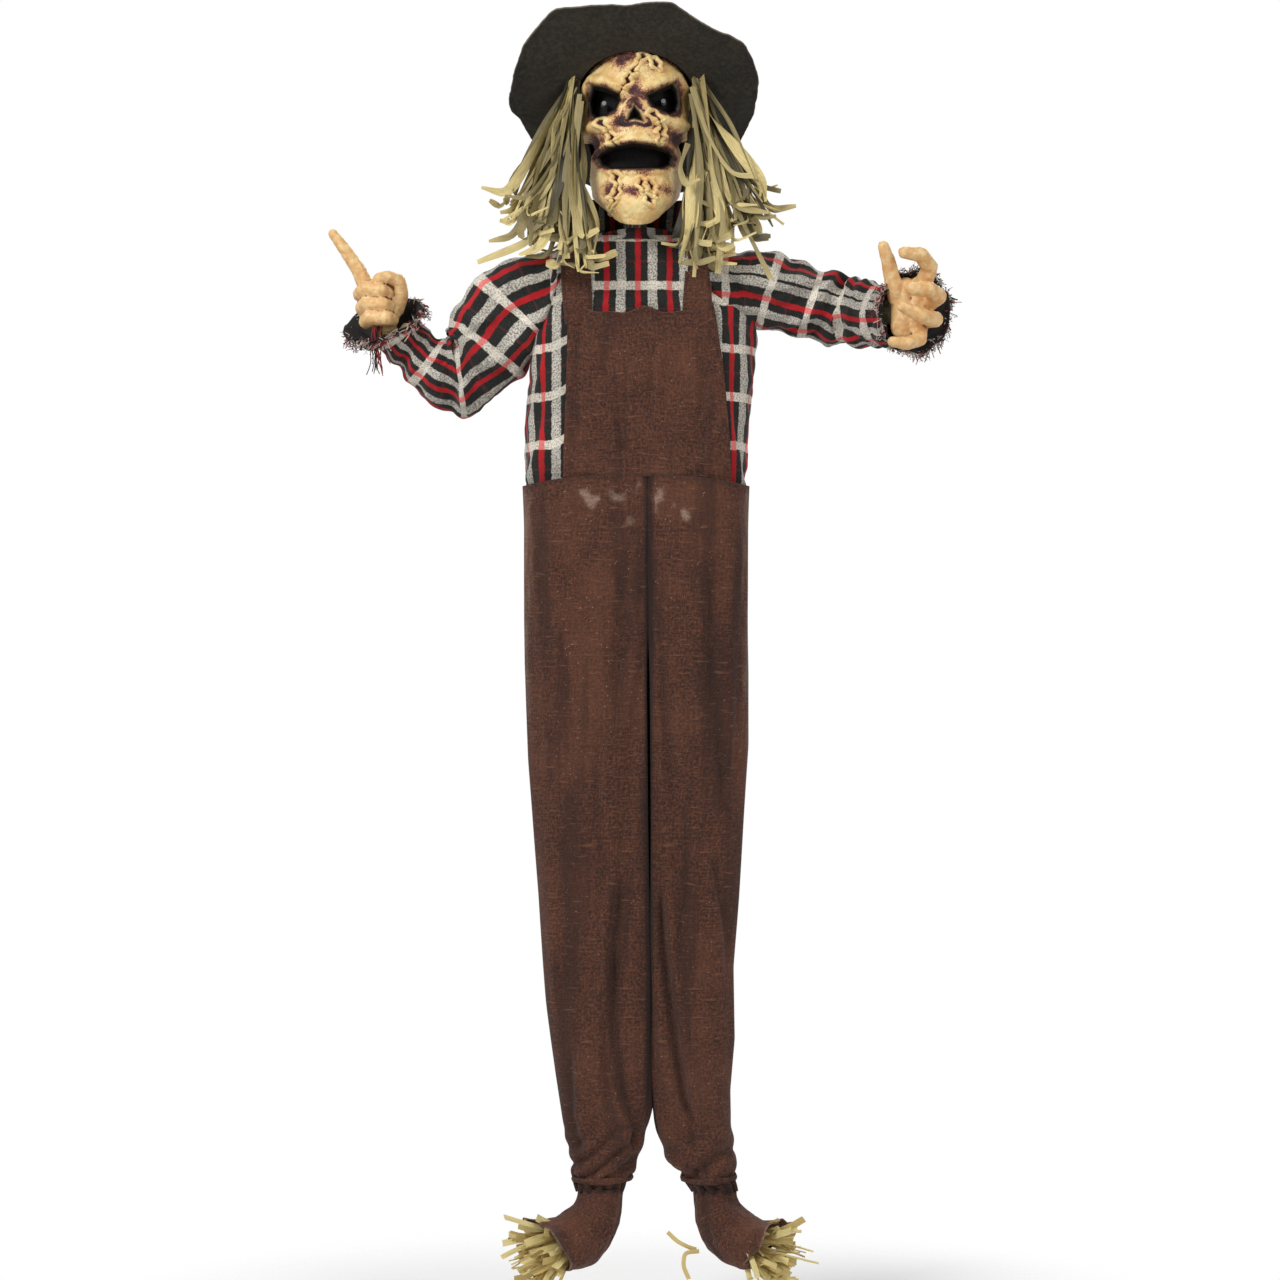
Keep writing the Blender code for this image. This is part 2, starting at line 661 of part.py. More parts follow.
def hands():
    """A fist with its index finger pointing up, and an open grasping hand."""
    left, right = ARMS
    base = left.wrist + Vector((-0.006, -0.002, 0.012))
    palm = block("hand_left", (0.042, 0.028, 0.048), base + Vector((0, 0.002, 0.026)), "hand", bevel=0.009)
    index = ((-0.012, -0.006, 0.038), (-0.032, -0.008, 0.058), (-0.066, -0.010, 0.118))
    finger("left_index", index, 0.0072, palm, base)
    for i in range(3):
        top = base + Vector((-0.010 + 0.005 * i, -0.0115, 0.040 - 0.0135 * i))
        finger(f"left_curl_{i}", ((-0.014, 0, -0.004), (0.012, 0, 0.002)), 0.0078, palm, top)
    thumb = ((0.016, 0.0, 0.044), (0.021, -0.008, 0.030), (0.018, -0.012, 0.014))
    finger("left_thumb", thumb, 0.0072, palm, base)
    finger("left_wrist", (left.wrist - left.fore * 0.002, base + Vector((0, 0, 0.012))), 0.0150, palm)

    base = right.wrist + Vector((-0.006, -0.006, 0.004))
    palm_turn = Matrix.Rotation(math.radians(-30), 4, "Z")
    palm_place = base + Vector((0.010, -0.022, 0.0))
    palm = block("hand_right", (0.050, 0.022, 0.058), palm_place, "hand", turn=palm_turn, bevel=0.008)
    finger("right_wrist", (right.wrist - right.fore * 0.002, base + Vector((0.006, -0.012, 0))), 0.0150, palm)
    knuckle = base + Vector((0.032, -0.034, 0))
    for name, height, lift, tip_back in RIGHT_FINGERS:
        root = knuckle + Vector((-0.008, 0.004, height))
        bend = knuckle + Vector((0.010, -0.018, height + lift * 0.5))
        tip = bend + Vector((tip_back, -0.014, lift * 0.5))
        finger(f"right_{name}", (root, bend, tip), 0.0068, palm)
    thumb = ((0.006, -0.026, 0.020), (-0.004, -0.036, 0.046), (-0.014, -0.040, 0.066))
    finger("right_thumb", thumb, 0.0080, palm, base)


# ---------------------------------------------------------------- legs

# Height, left edge, right edge and half depth of each trouser leg.
LEG_LEFT_RINGS = (
    (LEG_TOP_Z, -0.152, 0.015, 0.048),
    (-0.890, -0.155, 0.015, 0.052),
    (-1.020, -0.151, 0.016, 0.053),
    (-1.200, -0.133, 0.021, 0.051),
    (-1.350, -0.124, 0.020, 0.048),
    (-1.450, -0.110, 0.015, 0.046),
    (-1.530, -0.100, 0.010, 0.042),
    (-1.575, -0.090, -0.006, 0.036),
    (-1.606, -0.078, -0.020, 0.028),
)
LEG_RIGHT_RINGS = (
    (LEG_TOP_Z, 0.021, 0.152, 0.048),
    (-0.900, 0.021, 0.157, 0.052),
    (-1.000, 0.021, 0.158, 0.053),
    (-1.110, 0.024, 0.150, 0.052),
    (-1.210, 0.030, 0.143, 0.050),
    (-1.300, 0.028, 0.135, 0.048),
    (-1.400, 0.023, 0.139, 0.048),
    (-1.525, 0.026, 0.130, 0.042),
    (-1.575, 0.046, 0.134, 0.036),
    (-1.606, 0.078, 0.138, 0.028),
)


def leg_ring(z, low, high, half_y, grow=0.0, sides=18):
    return oval((low + high) / 2, 0, z, (high - low) / 2 + grow, half_y + grow, power=2.5, sides=sides)


def leg(side, rings):
    thicken(loft(f"trouser_leg_{side}", [leg_ring(*row) for row in rings], "burlap"))
    upper, lower = rings[-2], rings[-1]
    tie = []
    for share in (0.35, 0.60):
        row = [a + (b - a) * share for a, b in zip(upper, lower)]
        tie.append(leg_ring(*row, grow=0.0062))
    thicken(loft(f"ankle_tie_{side}", tie, "burlap"), thickness=0.0028)


def foot(side, sign, ankle_x):
    """A stuffed cloth foot turned outwards, open at its toe, with straw in the opening."""
    outwards = Vector((sign * 0.84, -0.46, -0.28)).normalized()
    neck = Vector((ankle_x, 0, -1.623))
    path = (
        (neck, -Z_AXIS, 0.022),
        (neck + Vector((0, 0, -0.022)), -Z_AXIS, 0.032),
        (neck + Vector((sign * 0.010, -0.004, -0.050)), (outwards - Z_AXIS * 0.8).normalized(), 0.040),
        (neck + Vector((sign * 0.036, -0.018, -0.052)), outwards, 0.039),
        (neck + Vector((sign * 0.060, -0.032, -0.056)), outwards, 0.034),
    )
    rings = [round_ring(centre, axis, radius, 16) for centre, axis, radius in path]
    thicken(loft(f"foot_{side}", rings, "burlap"), thickness=0.0025)
    mouth = path[-1][0]
    straw = []
    for reach, radius in ((-0.020, 0.026), (0.004, 0.028), (0.030, 0.036), (0.052, 0.030)):
        straw.append(round_ring(mouth + outwards * reach, outwards, radius, 12))
    loft(f"foot_straw_{side}", straw, "straw", capped=True)


def build():
    for obj in list(bpy.data.objects):
        bpy.data.objects.remove(obj)
    collection(PARTS)
    collection(CUTTERS)
    make_materials()
    hanging_frame()
    shirt()
    overalls()
    chest_padding()
    sound_box()
    hair_tips()
    face()
    neck_bush()
    hat()
    hair()
    for arm in ARMS:
        arm_pieces(arm)
    hands()
    leg("left", LEG_LEFT_RINGS)
    leg("right", LEG_RIGHT_RINGS)
    foot("left", -1, -0.049)
    foot("right", 1, 0.108)


build()
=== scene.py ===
import math

import bmesh
import bpy
import numpy as np
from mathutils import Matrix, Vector, noise


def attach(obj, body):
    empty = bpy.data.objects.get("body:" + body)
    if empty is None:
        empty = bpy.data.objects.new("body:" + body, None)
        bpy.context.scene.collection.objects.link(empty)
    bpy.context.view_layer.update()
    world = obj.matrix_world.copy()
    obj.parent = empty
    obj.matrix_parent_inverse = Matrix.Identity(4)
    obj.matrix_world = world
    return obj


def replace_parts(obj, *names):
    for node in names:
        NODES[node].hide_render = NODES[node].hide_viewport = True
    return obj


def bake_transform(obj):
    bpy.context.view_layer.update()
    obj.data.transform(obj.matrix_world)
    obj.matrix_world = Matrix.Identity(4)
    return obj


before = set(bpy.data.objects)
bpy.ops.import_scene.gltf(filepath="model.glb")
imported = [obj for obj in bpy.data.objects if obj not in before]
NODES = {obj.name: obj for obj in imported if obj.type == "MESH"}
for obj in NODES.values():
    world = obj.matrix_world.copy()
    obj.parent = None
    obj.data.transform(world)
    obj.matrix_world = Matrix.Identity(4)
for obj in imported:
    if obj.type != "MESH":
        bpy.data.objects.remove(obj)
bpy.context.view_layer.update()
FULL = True
rng = np.random.default_rng(7)


# ---------- small tools ----------

def srgb(red, green, blue):
    """A display colour, 0 to 255, as linear light."""
    parts = []
    for value in (red, green, blue):
        value = value / 255
        parts.append(value / 12.92 if value <= 0.04045 else ((value + 0.055) / 1.055) ** 2.4)
    return (*parts, 1.0)


def metres(table):
    """A table of millimetres, nested as it may be, in metres."""
    if isinstance(table, (list, tuple)):
        return type(table)(metres(entry) for entry in table)
    return table / 1000


def smooth(low, high, value):
    """0 below low, 1 above high, and a smooth change between them. low may be the higher one."""
    t = np.clip((value - low) / (high - low), 0, 1)
    return t * t * (3 - 2 * t)


def lumps(points, size, seed=0.0, octaves=3):
    """Smooth noise at each point, about -1 to 1, with lumps of that size in metres."""
    shape = np.shape(points)[:-1]
    flat = np.reshape(points, (-1, 3)) / size + seed * 17.3
    return np.array([noise.fractal(p, 1.0, 2.0, octaves) for p in flat.tolist()]).reshape(shape)


def along(table, at):
    """Columns of a table read at the places `at` of its first column."""
    table = np.array(table, float)
    order = np.argsort(table[:, 0])
    return [np.interp(at, table[order, 0], table[order, i]) for i in range(1, table.shape[1])]


def unit(vector):
    vector = np.asarray(vector, float)
    return vector / np.linalg.norm(vector)


def unit_rows(vectors, tiny=1e-12):
    """Each vector of an array made one long. tiny keeps an empty one from dividing by zero."""
    return vectors / (np.linalg.norm(vectors, axis=-1, keepdims=True) + tiny)


def bell(value, centre, width):
    """1 at the centre, fading to 0 on both sides of it."""
    return np.exp(-((value - centre) / width) ** 2)


def turns(count, start=0.0):
    """Angles evenly spaced once round."""
    return np.linspace(start, start + 2 * math.pi, count, endpoint=False)


def relax(values, times=1):
    """Evens out the rows of an array, with the first and last kept."""
    for _ in range(times):
        values[1:-1] = (values[:-2] + 2 * values[1:-1] + values[2:]) / 4
    return values


def closed_ring(points):
    """A grid of points with its first column again after its last."""
    return np.concatenate([points, points[:, :1]], axis=1)


def running_length(points):
    """How far along a line each of its points is."""
    return np.concatenate([[0], np.cumsum(np.linalg.norm(np.diff(points, axis=0), axis=1))])


def apply_modifiers(obj):
    """Replaces the mesh by what the modifiers make of it."""
    graph = bpy.context.evaluated_depsgraph_get()
    graph.update()
    made = bpy.data.meshes.new_from_object(obj.evaluated_get(graph))
    obj.modifiers.clear()
    obj.data = made
    return obj


def mesh_object(name, points, faces, material):
    mesh = bpy.data.meshes.new(name)
    mesh.from_pydata(np.asarray(points).reshape(-1, 3).tolist(), [], faces)
    mesh.materials.append(material)
    mesh.shade_smooth()
    obj = bpy.data.objects.new(name, mesh)
    bpy.context.scene.collection.objects.link(obj)
    return obj


def paint(obj, name, values):
    """One number at each point of the mesh, for its material."""
    obj.data.attributes.new(name, "FLOAT", "POINT").data.foreach_set(
        "value", np.asarray(values, np.float32).ravel())


def set_cloth_places(obj, places):
    """Each face corner's own place on the flat cloth, in metres, for the material."""
    obj.data.attributes.new("cloth", "FLOAT_VECTOR", "CORNER").data.foreach_set(
        "vector", np.array(places, np.float32).ravel())


def grid_cloth(name, points, material, closed=True, keep=None, across=None, down=None):
    """A grid of points, rows by columns, as one layer of cloth. keep says which of its squares have a face.

    across and down are its places on the flat cloth, where they aren't the distances along the grid."""
    rows, columns = points.shape[:2]
    ring = closed_ring(points) if closed else points
    if across is None:
        step = np.linalg.norm(np.diff(ring, axis=1), axis=2)
        across = np.concatenate([np.zeros((rows, 1)), np.cumsum(step, axis=1)], axis=1)
        across = across - across[:, -1:] / 2
    if down is None:
        fall = np.linalg.norm(np.diff(ring, axis=0), axis=2).mean(axis=1)
        down = np.repeat(np.concatenate([[0], np.cumsum(fall)])[:, None], ring.shape[1], axis=1)
    faces, cloth = [], []
    for r in range(rows - 1):
        for c in range(ring.shape[1] - 1):
            if keep is not None and not keep[r, c]:
                continue
            after = (c + 1) % columns
            upper, lower = r * columns, (r + 1) * columns
            faces.append((upper + c, upper + after, lower + after, lower + c))
            for i, j in ((r, c), (r, c + 1), (r + 1, c + 1), (r + 1, c)):
                cloth.append((across[i, j], down[i, j], 0.0))
    obj = mesh_object(name, points, faces, material)
    set_cloth_places(obj, cloth)
    return obj


def rest_points(obj):
    points = np.zeros(len(obj.data.vertices) * 3, np.float32)
    obj.data.vertices.foreach_get("co", points)
    return points.reshape(-1, 3).astype(float)


def set_points(obj, points):
    obj.data.vertices.foreach_set("co", points.astype(np.float32).ravel())


def drop_loose(obj):
    """Removes points that no face uses."""
    used = {i for face in obj.data.polygons for i in face.vertices}
    bm = bmesh.new()
    bm.from_mesh(obj.data)
    bm.verts.ensure_lookup_table()
    bmesh.ops.delete(bm, geom=[v for v in bm.verts if v.index not in used], context="VERTS")
    bm.to_mesh(obj.data)
    bm.free()


def crumple(obj, wide, long, pinned, frames=22, limit=0.012, stiff=12.0, bend=0.4):
    """Lets the cloth buckle into folds, as it is wider and longer than the space it hangs in.

    wide and long are how much further out each point is on the larger cloth, and pinned is 1 where it is sewn down.
    The cloth is simulated, and the result kept as the mesh, no further than limit from where it began."""
    if not FULL:
        return obj
    start = rest_points(obj)
    obj.shape_key_add(name="Basis")
    large = obj.shape_key_add(name="cut")
    larger = start + wide.reshape(-1, 3) + long.reshape(-1, 3)
    large.data.foreach_set("co", larger.astype(np.float32).ravel())
    group = obj.vertex_groups.new(name="sewn")
    for i, weight in enumerate(np.asarray(pinned).ravel().tolist()):
        if weight > 0.01:
            group.add([i], weight, "REPLACE")
    cloth = obj.modifiers.new("folds", "CLOTH")
    settings = {
        "rest_shape_key": large, "vertex_group_mass": "sewn", "pin_stiffness": 1.0, "quality": 5, "mass": 0.15,
        "tension_stiffness": stiff, "compression_stiffness": stiff, "shear_stiffness": stiff / 3,
        "bending_stiffness": bend, "air_damping": 3.0}
    for key, value in settings.items():
        setattr(cloth.settings, key, value)
    cloth.collision_settings.use_collision = False
    cloth.point_cache.frame_start = 1
    cloth.point_cache.frame_end = frames
    for step in range(1, frames + 1):
        bpy.context.scene.frame_set(step)
    graph = bpy.context.evaluated_depsgraph_get()
    moved = rest_points(obj.evaluated_get(graph))
    bpy.context.scene.frame_set(1)
    obj.modifiers.clear()
    obj.shape_key_clear()
    obj.vertex_groups.clear()
    change = moved - start
    size = np.linalg.norm(change, axis=1, keepdims=True) + 1e-9
    change *= np.tanh(size / limit) * limit / size
    set_points(obj, start + change)
    obj.data.update()
    return obj


def thick_cloth(obj, thickness=0.0012, levels=1):
    """Makes one layer of cloth finer, and as thick as it really is."""
    if levels:
        finer = obj.modifiers.new("finer", "SUBSURF")
        finer.levels = levels
        finer.render_levels = levels
    solid = obj.modifiers.new("thick", "SOLIDIFY")
    solid.thickness = thickness
    solid.offset = -1.0
    return apply_modifiers(obj)


# ---------- materials ----------

class Shader:
    """One material, built a node at a time. Each method returns the new node's output."""

    def __init__(self, name):
        self.material = bpy.data.materials.new(name)
        self.material.use_nodes = True
        self.tree = self.material.node_tree
        self.tree.nodes.clear()

    def add(self, kind, inputs, output=0, **settings):
        node = self.tree.nodes.new("ShaderNode" + kind)
        for key, value in settings.items():
            setattr(node, key, value)
        for key, value in inputs.items():
            if isinstance(value, bpy.types.NodeSocket):
                self.tree.links.new(value, node.inputs[key])
            else:
                node.inputs[key].default_value = value
        return node.outputs[output]

    def math(self, operation, a, b=0.0):
        return self.add("Math", {0: a, 1: b}, operation=operation)

    def times(self, a, b):
        return self.math("MULTIPLY", a, b)

    def plus(self, a, b):
        return self.math("ADD", a, b)

    def minus(self, a, b):
        return self.math("SUBTRACT", a, b)

    def step(self, value, low, high, to_low=0.0, to_high=1.0):
        """A smooth change from to_low, where value is low, to to_high, where it is high."""
        inputs = {"Value": value, "From Min": low, "From Max": high, "To Min": to_low, "To Max": to_high}
        return self.add("MapRange", inputs, interpolation_type="SMOOTHSTEP")

    def mix(self, share, a, b, blend="MIX"):
        return self.add("Mix", {0: share, 6: a, 7: b}, 2, data_type="RGBA", blend_type=blend)

    def object_place(self):
        return self.add("TexCoord", {}, 3)

    def cloth_place(self, scale=(1, 1, 1)):
        place = self.add("Attribute", {}, 1, attribute_name="cloth")
        return self.add("Mapping", {"Vector": place, "Scale": scale}) if scale != (1, 1, 1) else place

    def painted(self, name):
        return self.add("Attribute", {}, 2, attribute_name=name)

    def noise(self, place, scale, detail=3.0, roughness=0.55):
        inputs = {"Vector": place, "Scale": scale, "Detail": detail, "Roughness": roughness}
        return self.add("TexNoise", inputs)

    def cells(self, place, scale, feature="F1"):
        return self.add("TexVoronoi", {"Vector": place, "Scale": scale}, feature=feature)

    def bump(self, height, distance, strength=1.0, under=None):
        inputs = {"Height": height, "Distance": distance, "Strength": strength}
        if under is not None:
            inputs["Normal"] = under
        return self.add("Bump", inputs)

    def finish(self, colour, roughness, normal=None, **fixed):
        inputs = {"Base Color": colour, "Roughness": roughness}
        if normal is not None:
            inputs["Normal"] = normal
        inputs.update({key.replace("_", " "): value for key, value in fixed.items()})
        surface = self.add("BsdfPrincipled", inputs)
        self.add_output(surface)
        return self.material

    def add_output(self, surface):
        node = self.tree.nodes.new("ShaderNodeOutputMaterial")
        self.tree.links.new(surface, node.inputs["Surface"])


# How often the flannel's stripes repeat, across the cloth and down it, in metres.
PLAID_ACROSS = 0.0438
PLAID_DOWN = 0.0660


def plaid():
    """Heavy flannel: red and white stripes along the cloth, cream ones across it, and a green-black ground."""
    s = Shader("plaid_flannel")
    place = s.cloth_place()
    wobble = s.noise(place, 160.0, 2.0)
    parts = s.add("SeparateXYZ", {0: place}).node.outputs
    shift = s.times(s.minus(wobble, 0.5), 0.0034)
    across = s.plus(parts[0], shift)
    down = s.plus(parts[1], shift)

    def stripe(coordinate, period, offset, width, soft=0.0008):
        turn = s.math("DIVIDE", s.minus(coordinate, offset), period)
        from_middle = s.math("ABSOLUTE", s.minus(s.math("FRACT", s.plus(turn, 0.5)), 0.5))
        return s.step(s.times(from_middle, period), width / 2 + soft, width / 2 - soft)

    warp = s.noise(s.cloth_place((1, 0.12, 1)), 1400.0, 2.0)
    weft = s.noise(s.cloth_place((0.12, 1, 1)), 1400.0, 2.0)
    fluff = s.noise(place, 430.0, 3.0, 0.65)
    red = stripe(across, PLAID_ACROSS, 0.0, 0.0078)
    white = stripe(across, PLAID_ACROSS, 0.0202, 0.0130)
    cream = stripe(down, PLAID_DOWN, 0.022, 0.0118)
    thin = stripe(down, PLAID_DOWN, 0.055, 0.0030)
    ground = s.mix(s.step(fluff, 0.42, 0.62), srgb(17, 19, 17), srgb(38, 40, 35))
    colour = s.mix(s.times(thin, 0.35), ground, srgb(110, 40, 44))
    white_thread = s.times(white, s.step(fluff, 0.40, 0.58, 0.30, 0.98))
    colour = s.mix(white_thread, colour, srgb(222, 215, 202))
    red_thread = s.times(red, s.step(warp, 0.30, 0.50, 0.62, 1.0))
    colour = s.mix(red_thread, colour, srgb(188, 16, 26))
    cream_thread = s.times(cream, s.step(fluff, 0.38, 0.56, 0.40, 0.96))
    colour = s.mix(cream_thread, colour, srgb(246, 237, 220))
    crossing = s.times(cream, red)
    colour = s.mix(s.times(crossing, 0.8), colour, srgb(232, 92, 92))
    dirt = s.step(s.noise(s.object_place(), 18.0, 4.0), 0.35, 0.7, 0.78, 1.08)
    colour = s.mix(1.0, colour, s.add("CombineColor", {0: dirt, 1: dirt, 2: dirt}), "MULTIPLY")
    # The painted attribute darkens the flannel: painted shade where the shirt goes into the trousers and at the
    # sleeve roots; the whole collar and the cuff ends are darker too.
    colour = s.mix(s.times(s.painted("wear_and_shade"), 0.6), colour, srgb(30, 26, 24))
    height = s.plus(s.times(warp, 0.5), s.plus(s.times(weft, 0.5), fluff))
    return s.finish(colour, 0.92, s.bump(height, 0.0009, 0.6), Sheen_Weight=0.10, Sheen_Roughness=0.5)


def coarse_cloth(name, light, mid, dark, patch):
    """Coarse open-weave cloth with slubs, lint and worn streaks. Its painted attribute pales it above zero, where the
    cloth is rubbed; below zero it darkens it, as painted shade in fold valleys and where parts meet, and along seams.
    """
    s = Shader(name)
    place = s.cloth_place()
    warp = s.noise(s.cloth_place((1, 0.07, 1)), 620.0, 2.0)
    weft = s.noise(s.cloth_place((0.07, 1, 1)), 560.0, 2.0)
    weave = s.math("MAXIMUM", warp, weft)
    broad = s.noise(s.object_place(), 9.0, 4.0, 0.6)
    # Painted shade: long upright streaks that darken the cloth like the shade in hanging folds.
    hang = s.noise(s.add("Mapping", {"Vector": s.object_place(), "Scale": (1, 1, 0.12)}), 26.0, 3.0, 0.55)
    fine = s.noise(place, 260.0, 3.0, 0.7)
    colour = s.mix(s.step(weave, 0.48, 0.68), dark, mid)
    colour = s.mix(s.times(s.step(fine, 0.42, 0.70), 0.75), colour, light)
    colour = s.mix(s.times(s.step(broad, 0.42, 0.72), 0.40), colour, light)
    colour = s.mix(s.step(hang, 0.50, 0.34, 0.0, 0.55), colour, dark)
    slub = s.step(s.noise(s.cloth_place((0.16, 1, 1)), 210.0, 1.0), 0.64, 0.72)
    colour = s.mix(s.times(slub, 0.45), colour, patch)
    lint = s.step(s.cells(place, 130.0), 0.11, 0.05)
    colour = s.mix(s.times(lint, s.step(broad, 0.40, 0.60, 0.1, 0.9)), colour, srgb(172, 150, 134))
    wear_and_shade = s.painted("wear_and_shade")
    rubbed = s.times(s.step(wear_and_shade, 0.0, 1.0), s.step(fine, 0.30, 0.62, 0.25, 0.8))
    colour = s.mix(rubbed, colour, srgb(176, 150, 132))
    # Painted shade: below zero the painted attribute darkens the cloth in fold valleys, between the legs and where
    # one part goes under another; seams darken the same way.
    colour = s.mix(s.step(wear_and_shade, 0.0, -1.0, 0.0, 0.85), colour, srgb(30, 18, 16))
    height = s.plus(s.plus(warp, weft), s.times(slub, 0.8))
    return s.finish(colour, 0.95, s.bump(height, 0.0012, 0.75), Sheen_Weight=0.04)


def speckled(name, light, dark, scale, roughness, depth, metallic=0.0):
    """A plain finish with its own grain: two tones in lumps of 1/scale metres, and a bump of that depth."""
    s = Shader(name)
    place = s.object_place()
    grain = s.noise(place, scale, 4.0, 0.65)
    fine = s.noise(place, scale * 6, 2.0)
    colour = s.mix(s.step(grain, 0.35, 0.65), dark, light)
    gloss = s.step(fine, 0.3, 0.7, roughness - 0.08, roughness + 0.06)
    return s.finish(colour, gloss, s.bump(s.plus(grain, s.times(fine, 0.4)), depth, 0.6), Metallic=metallic)


def fibre(name, light, mid, dark, roughness):
    """Flat plant fibre: streaks along each strand, and a tone of its own for each one."""
    s = Shader(name)
    streak = s.noise(s.cloth_place((1, 0.02, 1)), 2600.0, 2.0)
    tone = s.painted("tone")
    colour = s.mix(s.step(tone, 0.0, 0.5), dark, mid)
    colour = s.mix(s.step(tone, 0.45, 1.0), colour, light)
    colour = s.mix(s.times(s.step(streak, 0.35, 0.65), 0.45), colour, dark)
    return s.finish(colour, roughness, s.bump(streak, 0.0004, 0.5))


# ---------- garments ----------

def oval_ring(low, high, half, power_low, power_high, columns):
    """Points (x, y) evenly spaced round a rounded outline, from its low x round the front, which is -y."""
    turn = np.linspace(0, 2 * math.pi, 721)
    centre = (low + high) / 2
    reach = (high - low) / 2
    power = np.where(np.cos(turn) < 0, power_high, power_low)
    x = centre - reach * np.sign(np.cos(turn)) * np.abs(np.cos(turn)) ** (2 / power)
    y = -half * np.sign(np.sin(turn)) * np.abs(np.sin(turn)) ** (2 / power)
    length = np.concatenate([[0], np.cumsum(np.hypot(np.diff(x), np.diff(y)))])
    at = np.arange(columns) / columns * length[-1]
    return np.stack([np.interp(at, length, x), np.interp(at, length, y)], axis=1)


def tube_from_rings(table, levels, columns):
    """A standing tube. The table has z, low x, high x, half depth, and the roundness of each side; middle y is 0."""
    low, high, half, power_low, power_high = along(table, levels)
    points = np.zeros((len(levels), columns, 3))
    for r, z in enumerate(levels):
        points[r, :, :2] = oval_ring(low[r], high[r], half[r], power_low[r], power_high[r], columns)
        points[r, :, 2] = z
    return points


def outward(points):
    """The direction away from the middle of each row's ring, square to its outline."""
    side = np.roll(points, -1, axis=1) - np.roll(points, 1, axis=1)
    down = np.gradient(points, axis=0)
    normal = unit_rows(np.cross(down, side))
    middle = points.mean(axis=1, keepdims=True)
    facing = np.sign(((points - middle) * normal).sum(axis=2, keepdims=True).mean())
    return normal * facing


def lap(points, line, height, width, side):
    """How far a folded lap lifts the cloth: a ridge on one side of its line of (x, z) and a dip on the other.

    The line, the height and the width are in millimetres."""
    line = np.array(line, float) / 1000
    height, width = height / 1000, width / 1000
    order = np.argsort(line[:, 1])
    z = points[..., 2]
    middle = np.interp(z, line[order, 1], line[order, 0])
    top, bottom = line[:, 1].max(), line[:, 1].min()
    ends = smooth(bottom - 0.5 * width, bottom + 2.5 * width, z) * smooth(top + 0.5 * width, top - 2.5 * width, z)
    away = (points[..., 0] - middle) / width * side
    return height * ends * np.tanh(away * 3.0) * np.exp(-away ** 2)


# Each trouser leg's rings: height, low x, high x, half depth, and the roundness of each side.
LEG_TABLES = {
    "left": [
        (-0.648, -0.1540, 0.0320, 0.0765, 2.8, 9), (-0.700, -0.1515, 0.0320, 0.0715, 2.8, 9),
        (-0.772, -0.1560, 0.0320, 0.0620, 2.7, 7), (-0.830, -0.1580, 0.0320, 0.0560, 2.6, 6),
        (-0.890, -0.1580, 0.0320, 0.0530, 2.5, 5), (-1.020, -0.1530, 0.0320, 0.0540, 2.5, 4),
        (-1.200, -0.1350, 0.0320, 0.0520, 2.5, 3.4), (-1.350, -0.1260, 0.0320, 0.0500, 2.4, 3),
        (-1.450, -0.1120, 0.0320, 0.0470, 2.3, 2.6), (-1.530, -0.1000, 0.0080, 0.0430, 2.2, 2.2),
        (-1.575, -0.0900, -0.0060, 0.0370, 2, 2), (-1.612, -0.0780, -0.0200, 0.0270, 2, 2)],
    "right": [
        (-0.648, 0.0040, 0.1540, 0.0765, 9, 2.8), (-0.700, 0.0040, 0.1520, 0.0715, 9, 2.8),
        (-0.772, 0.0040, 0.1560, 0.0620, 7, 2.7), (-0.830, 0.0040, 0.1570, 0.0560, 6, 2.6),
        (-0.900, 0.0040, 0.1600, 0.0530, 5, 2.5), (-1.000, 0.0040, 0.1610, 0.0540, 4, 2.5),
        (-1.110, 0.0040, 0.1520, 0.0530, 4, 2.5), (-1.210, 0.0040, 0.1450, 0.0510, 3.4, 2.5),
        (-1.300, 0.0040, 0.1370, 0.0490, 3, 2.4), (-1.400, 0.0040, 0.1410, 0.0490, 3, 2.3),
        (-1.470, 0.0230, 0.1320, 0.0470, 2.6, 2.2), (-1.525, 0.0300, 0.1340, 0.0430, 2.2, 2.2),
        (-1.560, 0.0420, 0.1400, 0.0390, 2, 2), (-1.585, 0.0620, 0.1330, 0.0340, 2, 2),
        (-1.612, 0.0800, 0.1370, 0.0270, 2, 2)],
}
